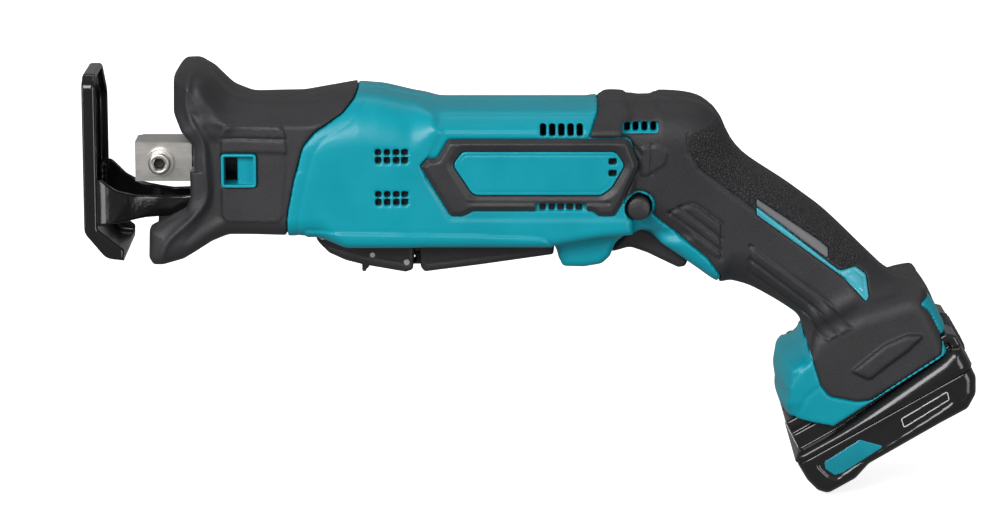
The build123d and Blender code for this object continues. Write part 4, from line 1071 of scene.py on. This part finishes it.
def rear_paddle():
    """The rear lever: a long tapering shell with its tongue at the link."""
    outline = rounded([
        (102.5, -41.8, 1.0), (104.0, -43.7, 1.2), (126.5, -40.8, 20), (154.9, -36.7, 1),
        (155.3, -34, 1.5), (154.4, -29.6, 2), (152, -27.7, 1.5), (149, -29.6, 1), (101.8, -32.0, 0.6),
    ])
    g = Grid((90.5, -14, -45), (157, 14, -26), 0.5)
    form = prism(g, outline, PADDLE_HALF, np.where(g.z < -34, 1.6, 0.5))
    tongue = both(slab(g.x, g.z, (91.6, -42.1), (108, -36.9), 1.2), np.abs(g.y) - 4.35, 0.3)
    form = np.minimum(form, tongue)
    slot_way = near_line(g.x, g.z, [(95.0, -39.6), (99.0, -39.6)]) - 1.5
    form = cut(form, slot_way)
    form = cut(form, cylinder_y(g, 152, -29, 1.55))
    line = near_line(g.x, g.z, [(105, -40.3), (126, -37.8), (152.6, -34.4)])
    return g, form + groove(line, 0.3, 0.45) * ease((np.abs(g.y) - 9) / 2)


def lock_off_tip():
    """The lock-off lever's finger tip, which shows below the front lever."""
    outline = rounded([
        (78.9, -36.5), (79.0, -45.5, 0.6), (80.4, -45.7, 0.6), (82.4, -41, 2), (84.4, -38.5),
    ])
    g = Grid((77.5, -3, -47), (86, 3, -35), 0.3)
    return g, prism(g, outline, 2.2, 0.5)


SPRING_FOOT = (201.0, -23.5)  # where the trigger's spring stands, and the way the trigger slides
TRIGGER_WAY = (0.619806, 0.784755)


def trigger_skin():
    """The trigger: a finger-worn blade with rounded edges and a stem to the switch."""
    outline = rounded([
        (177.6, -36.6, 0.8), (180, -36.2, 1), (185.2, -34.6, 6), (192, -37.0, 8), (204.4, -43.0, 2),
        (207.2, -42.6, 1.5), (208.4, -40.0, 1.5), (203.5, -34, 4), (192.5, -26.2, 3), (187, -26.3, 3),
        (182.5, -29.5, 5),
    ])
    g = Grid((176, -9, -45), (210, 9, -20), 0.42)
    blade = prism(g, outline, TRIGGER_HALF, 2.2)
    stem_outline = rounded([(190, -28), (198, -34), (204, -27), (197, -21)])
    stem = prism(g, stem_outline, 3, 0.4)
    dx, dz = g.x - SPRING_FOOT[0], g.z - SPRING_FOOT[1]
    along = dx * TRIGGER_WAY[0] + dz * TRIGGER_WAY[1]
    across = np.sqrt((dx * TRIGGER_WAY[1] - dz * TRIGGER_WAY[0]) ** 2 + g.y**2)
    pocket = np.maximum(across - 2.55, -5.6 - along)
    return g, cut(np.minimum(blade, stem), pocket)


def lock_button():
    """The trigger lock: a round bolt across the grip with a domed cap at each end."""
    g = Grid((182, -28.5, -21.6), (193.4, 24.5, -10.2), 0.32)
    across = np.sqrt((g.x - BUTTON[0]) ** 2 + (g.z - BUTTON[1]) ** 2)
    return g, both(across - 4.6, np.abs(g.y + 2.0) - 25.3 + across * across / 26, 0.8)


def clamp_screw():
    """The clamp's screw: a chamfered head with a hexagon socket."""
    g = Grid((-5, -15, -5), (5, -1.5, 5), 0.26)
    across = np.sqrt(g.x**2 + g.z**2)
    form = both(across - 4.3, -14.5 - g.y, 0.9)
    form = both(form, g.y + 1.8, 0.2)
    turns = [math.radians(60 * k + 30) for k in range(6)]
    socket = np.maximum.reduce([g.x * math.cos(t) + g.z * math.sin(t) for t in turns]) - 2.05
    form = cut(form, np.maximum(socket, g.y + 5.0))
    return g, cut(form, across - 2.9 + (g.y + 14.5))


def socket_shade_disc():
    """A matte black disc at the bottom of the screw's socket: painted shade that keeps the socket dark.
    """
    g = Grid((-3, -12, -3), (3, -4, 3), 0.24)
    return g, both(np.sqrt(g.x**2 + g.z**2) - 2.02, np.abs(g.y + 8.0) - 2.6, 0.2)


piece("lock_button_skin", *lock_button(), "trigger_lock", "charcoal_plastic", ["trigger_lock_button"])
piece("clamp_screw_skin", *clamp_screw(), "clamp_screw", "clamp_steel", ["clamp_screw"])
# Painted shade: a matte black disc deep in the screw's socket.
piece("socket_shade_disc", *socket_shade_disc(), "clamp_screw", "seal_rubber")
piece("front_paddle_skin", *front_paddle(), "front_paddle", "charcoal_plastic", ["front_paddle"])
piece("rear_paddle_skin", *rear_paddle(), "rear_paddle", "charcoal_plastic", ["rear_paddle"])
piece("lock_off_tip", *lock_off_tip(), "lock_off", "charcoal_plastic")
piece("trigger_skin", *trigger_skin(), "trigger", "charcoal_plastic", ["trigger"])

# ---------------------------------------------------------------- CAD nodes that keep their shape

node_slots = {part["node"]: part["material_slot"] for part in frame["record"]["subparts"]}
for name, obj in frame["nodes"].items():
    obj.data.materials.clear()
    obj.data.materials.append(FINISHES.get(node_slots.get(name), FINISHES["charcoal_plastic"]))
    edge = obj.modifiers.new("soft_edges", "BEVEL")
    edge.width = 0.15 * MM
    edge.segments = 2
    edge.limit_method = "ANGLE"
    edge.angle_limit = math.radians(40)
    edge.use_clamp_overlap = True

# ---------------------------------------------------------------- stage, lights and camera

VIEW_UP = math.radians(12)
DISTANCE = 1.6
FIELD = 0.398
SENSOR = 36.0
low, high = cad_box
target = Vector(((low.x + high.x) / 2 - 0.0122, 0, -0.0416))

floor = bpy.data.meshes.new("floor")
floor.from_pydata([(-6, -6, 0), (6, -6, 0), (6, 6, 0), (-6, 6, 0)], [], [(0, 1, 2, 3)])
floor_object = bpy.data.objects.new("floor", floor)
floor_object.location.z = low.z - 0.001
bpy.context.scene.collection.objects.link(floor_object)
floor_look = bpy.data.materials.new("floor")
floor_look.use_nodes = True
fill(floor_look.node_tree, floor_look.node_tree.nodes["Principled BSDF"], {
    "Base Color": (0.9, 0.9, 0.9, 1),
    "Roughness": 0.8,
    "Emission Color": (1, 1, 1, 1),
    "Emission Strength": 0.8,
})
floor_object.visible_glossy = False
floor_object.visible_diffuse = False
floor.materials.append(floor_look)

world = bpy.data.worlds.new("studio")
bpy.context.scene.world = world
world.use_nodes = True
background = {"Color": (1, 1, 1, 1), "Strength": 0.22}
fill(world.node_tree, world.node_tree.nodes["Background"], background)


def softbox(name, spot, size, power):
    """A rectangular lamp that faces the object."""
    lamp = bpy.data.lights.new(name, "AREA")
    lamp.shape = "RECTANGLE"
    lamp.size, lamp.size_y = size
    lamp.energy = power
    lamp_object = bpy.data.objects.new(name, lamp)
    lamp_object.location = spot
    lamp_object.rotation_mode = "QUATERNION"
    lamp_object.rotation_quaternion = (Vector(spot) - target).to_track_quat("Z", "Y")
    bpy.context.scene.collection.objects.link(lamp_object)
    return lamp_object


softbox("key", (-0.45, -1.25, 0.75), (1.0, 0.7), 19)
softbox("fill", (1.0, -1.1, 0.0), (0.5, 0.9), 6)
softbox("front", (-1.2, -0.5, 0.15), (0.4, 0.8), 2.5)
softbox("top", (0.2, 0.5, 1.2), (1.2, 0.25), 1.5)
softbox("back", (0.3, 1.4, 0.15), (1.0, 0.6), 6).visible_glossy = False

camera_data = bpy.data.cameras.new("camera")
camera_data.sensor_width = SENSOR
camera_data.lens = SENSOR * DISTANCE / FIELD
camera = bpy.data.objects.new("camera", camera_data)
back = Vector((0, -math.cos(VIEW_UP), math.sin(VIEW_UP)))
camera.location = target + back * DISTANCE
camera.rotation_mode = "QUATERNION"
camera.rotation_quaternion = (-back).to_track_quat("-Z", "Y")
bpy.context.scene.collection.objects.link(camera)
bpy.context.scene.camera = camera
bpy.context.scene.view_settings.view_transform = "Standard"
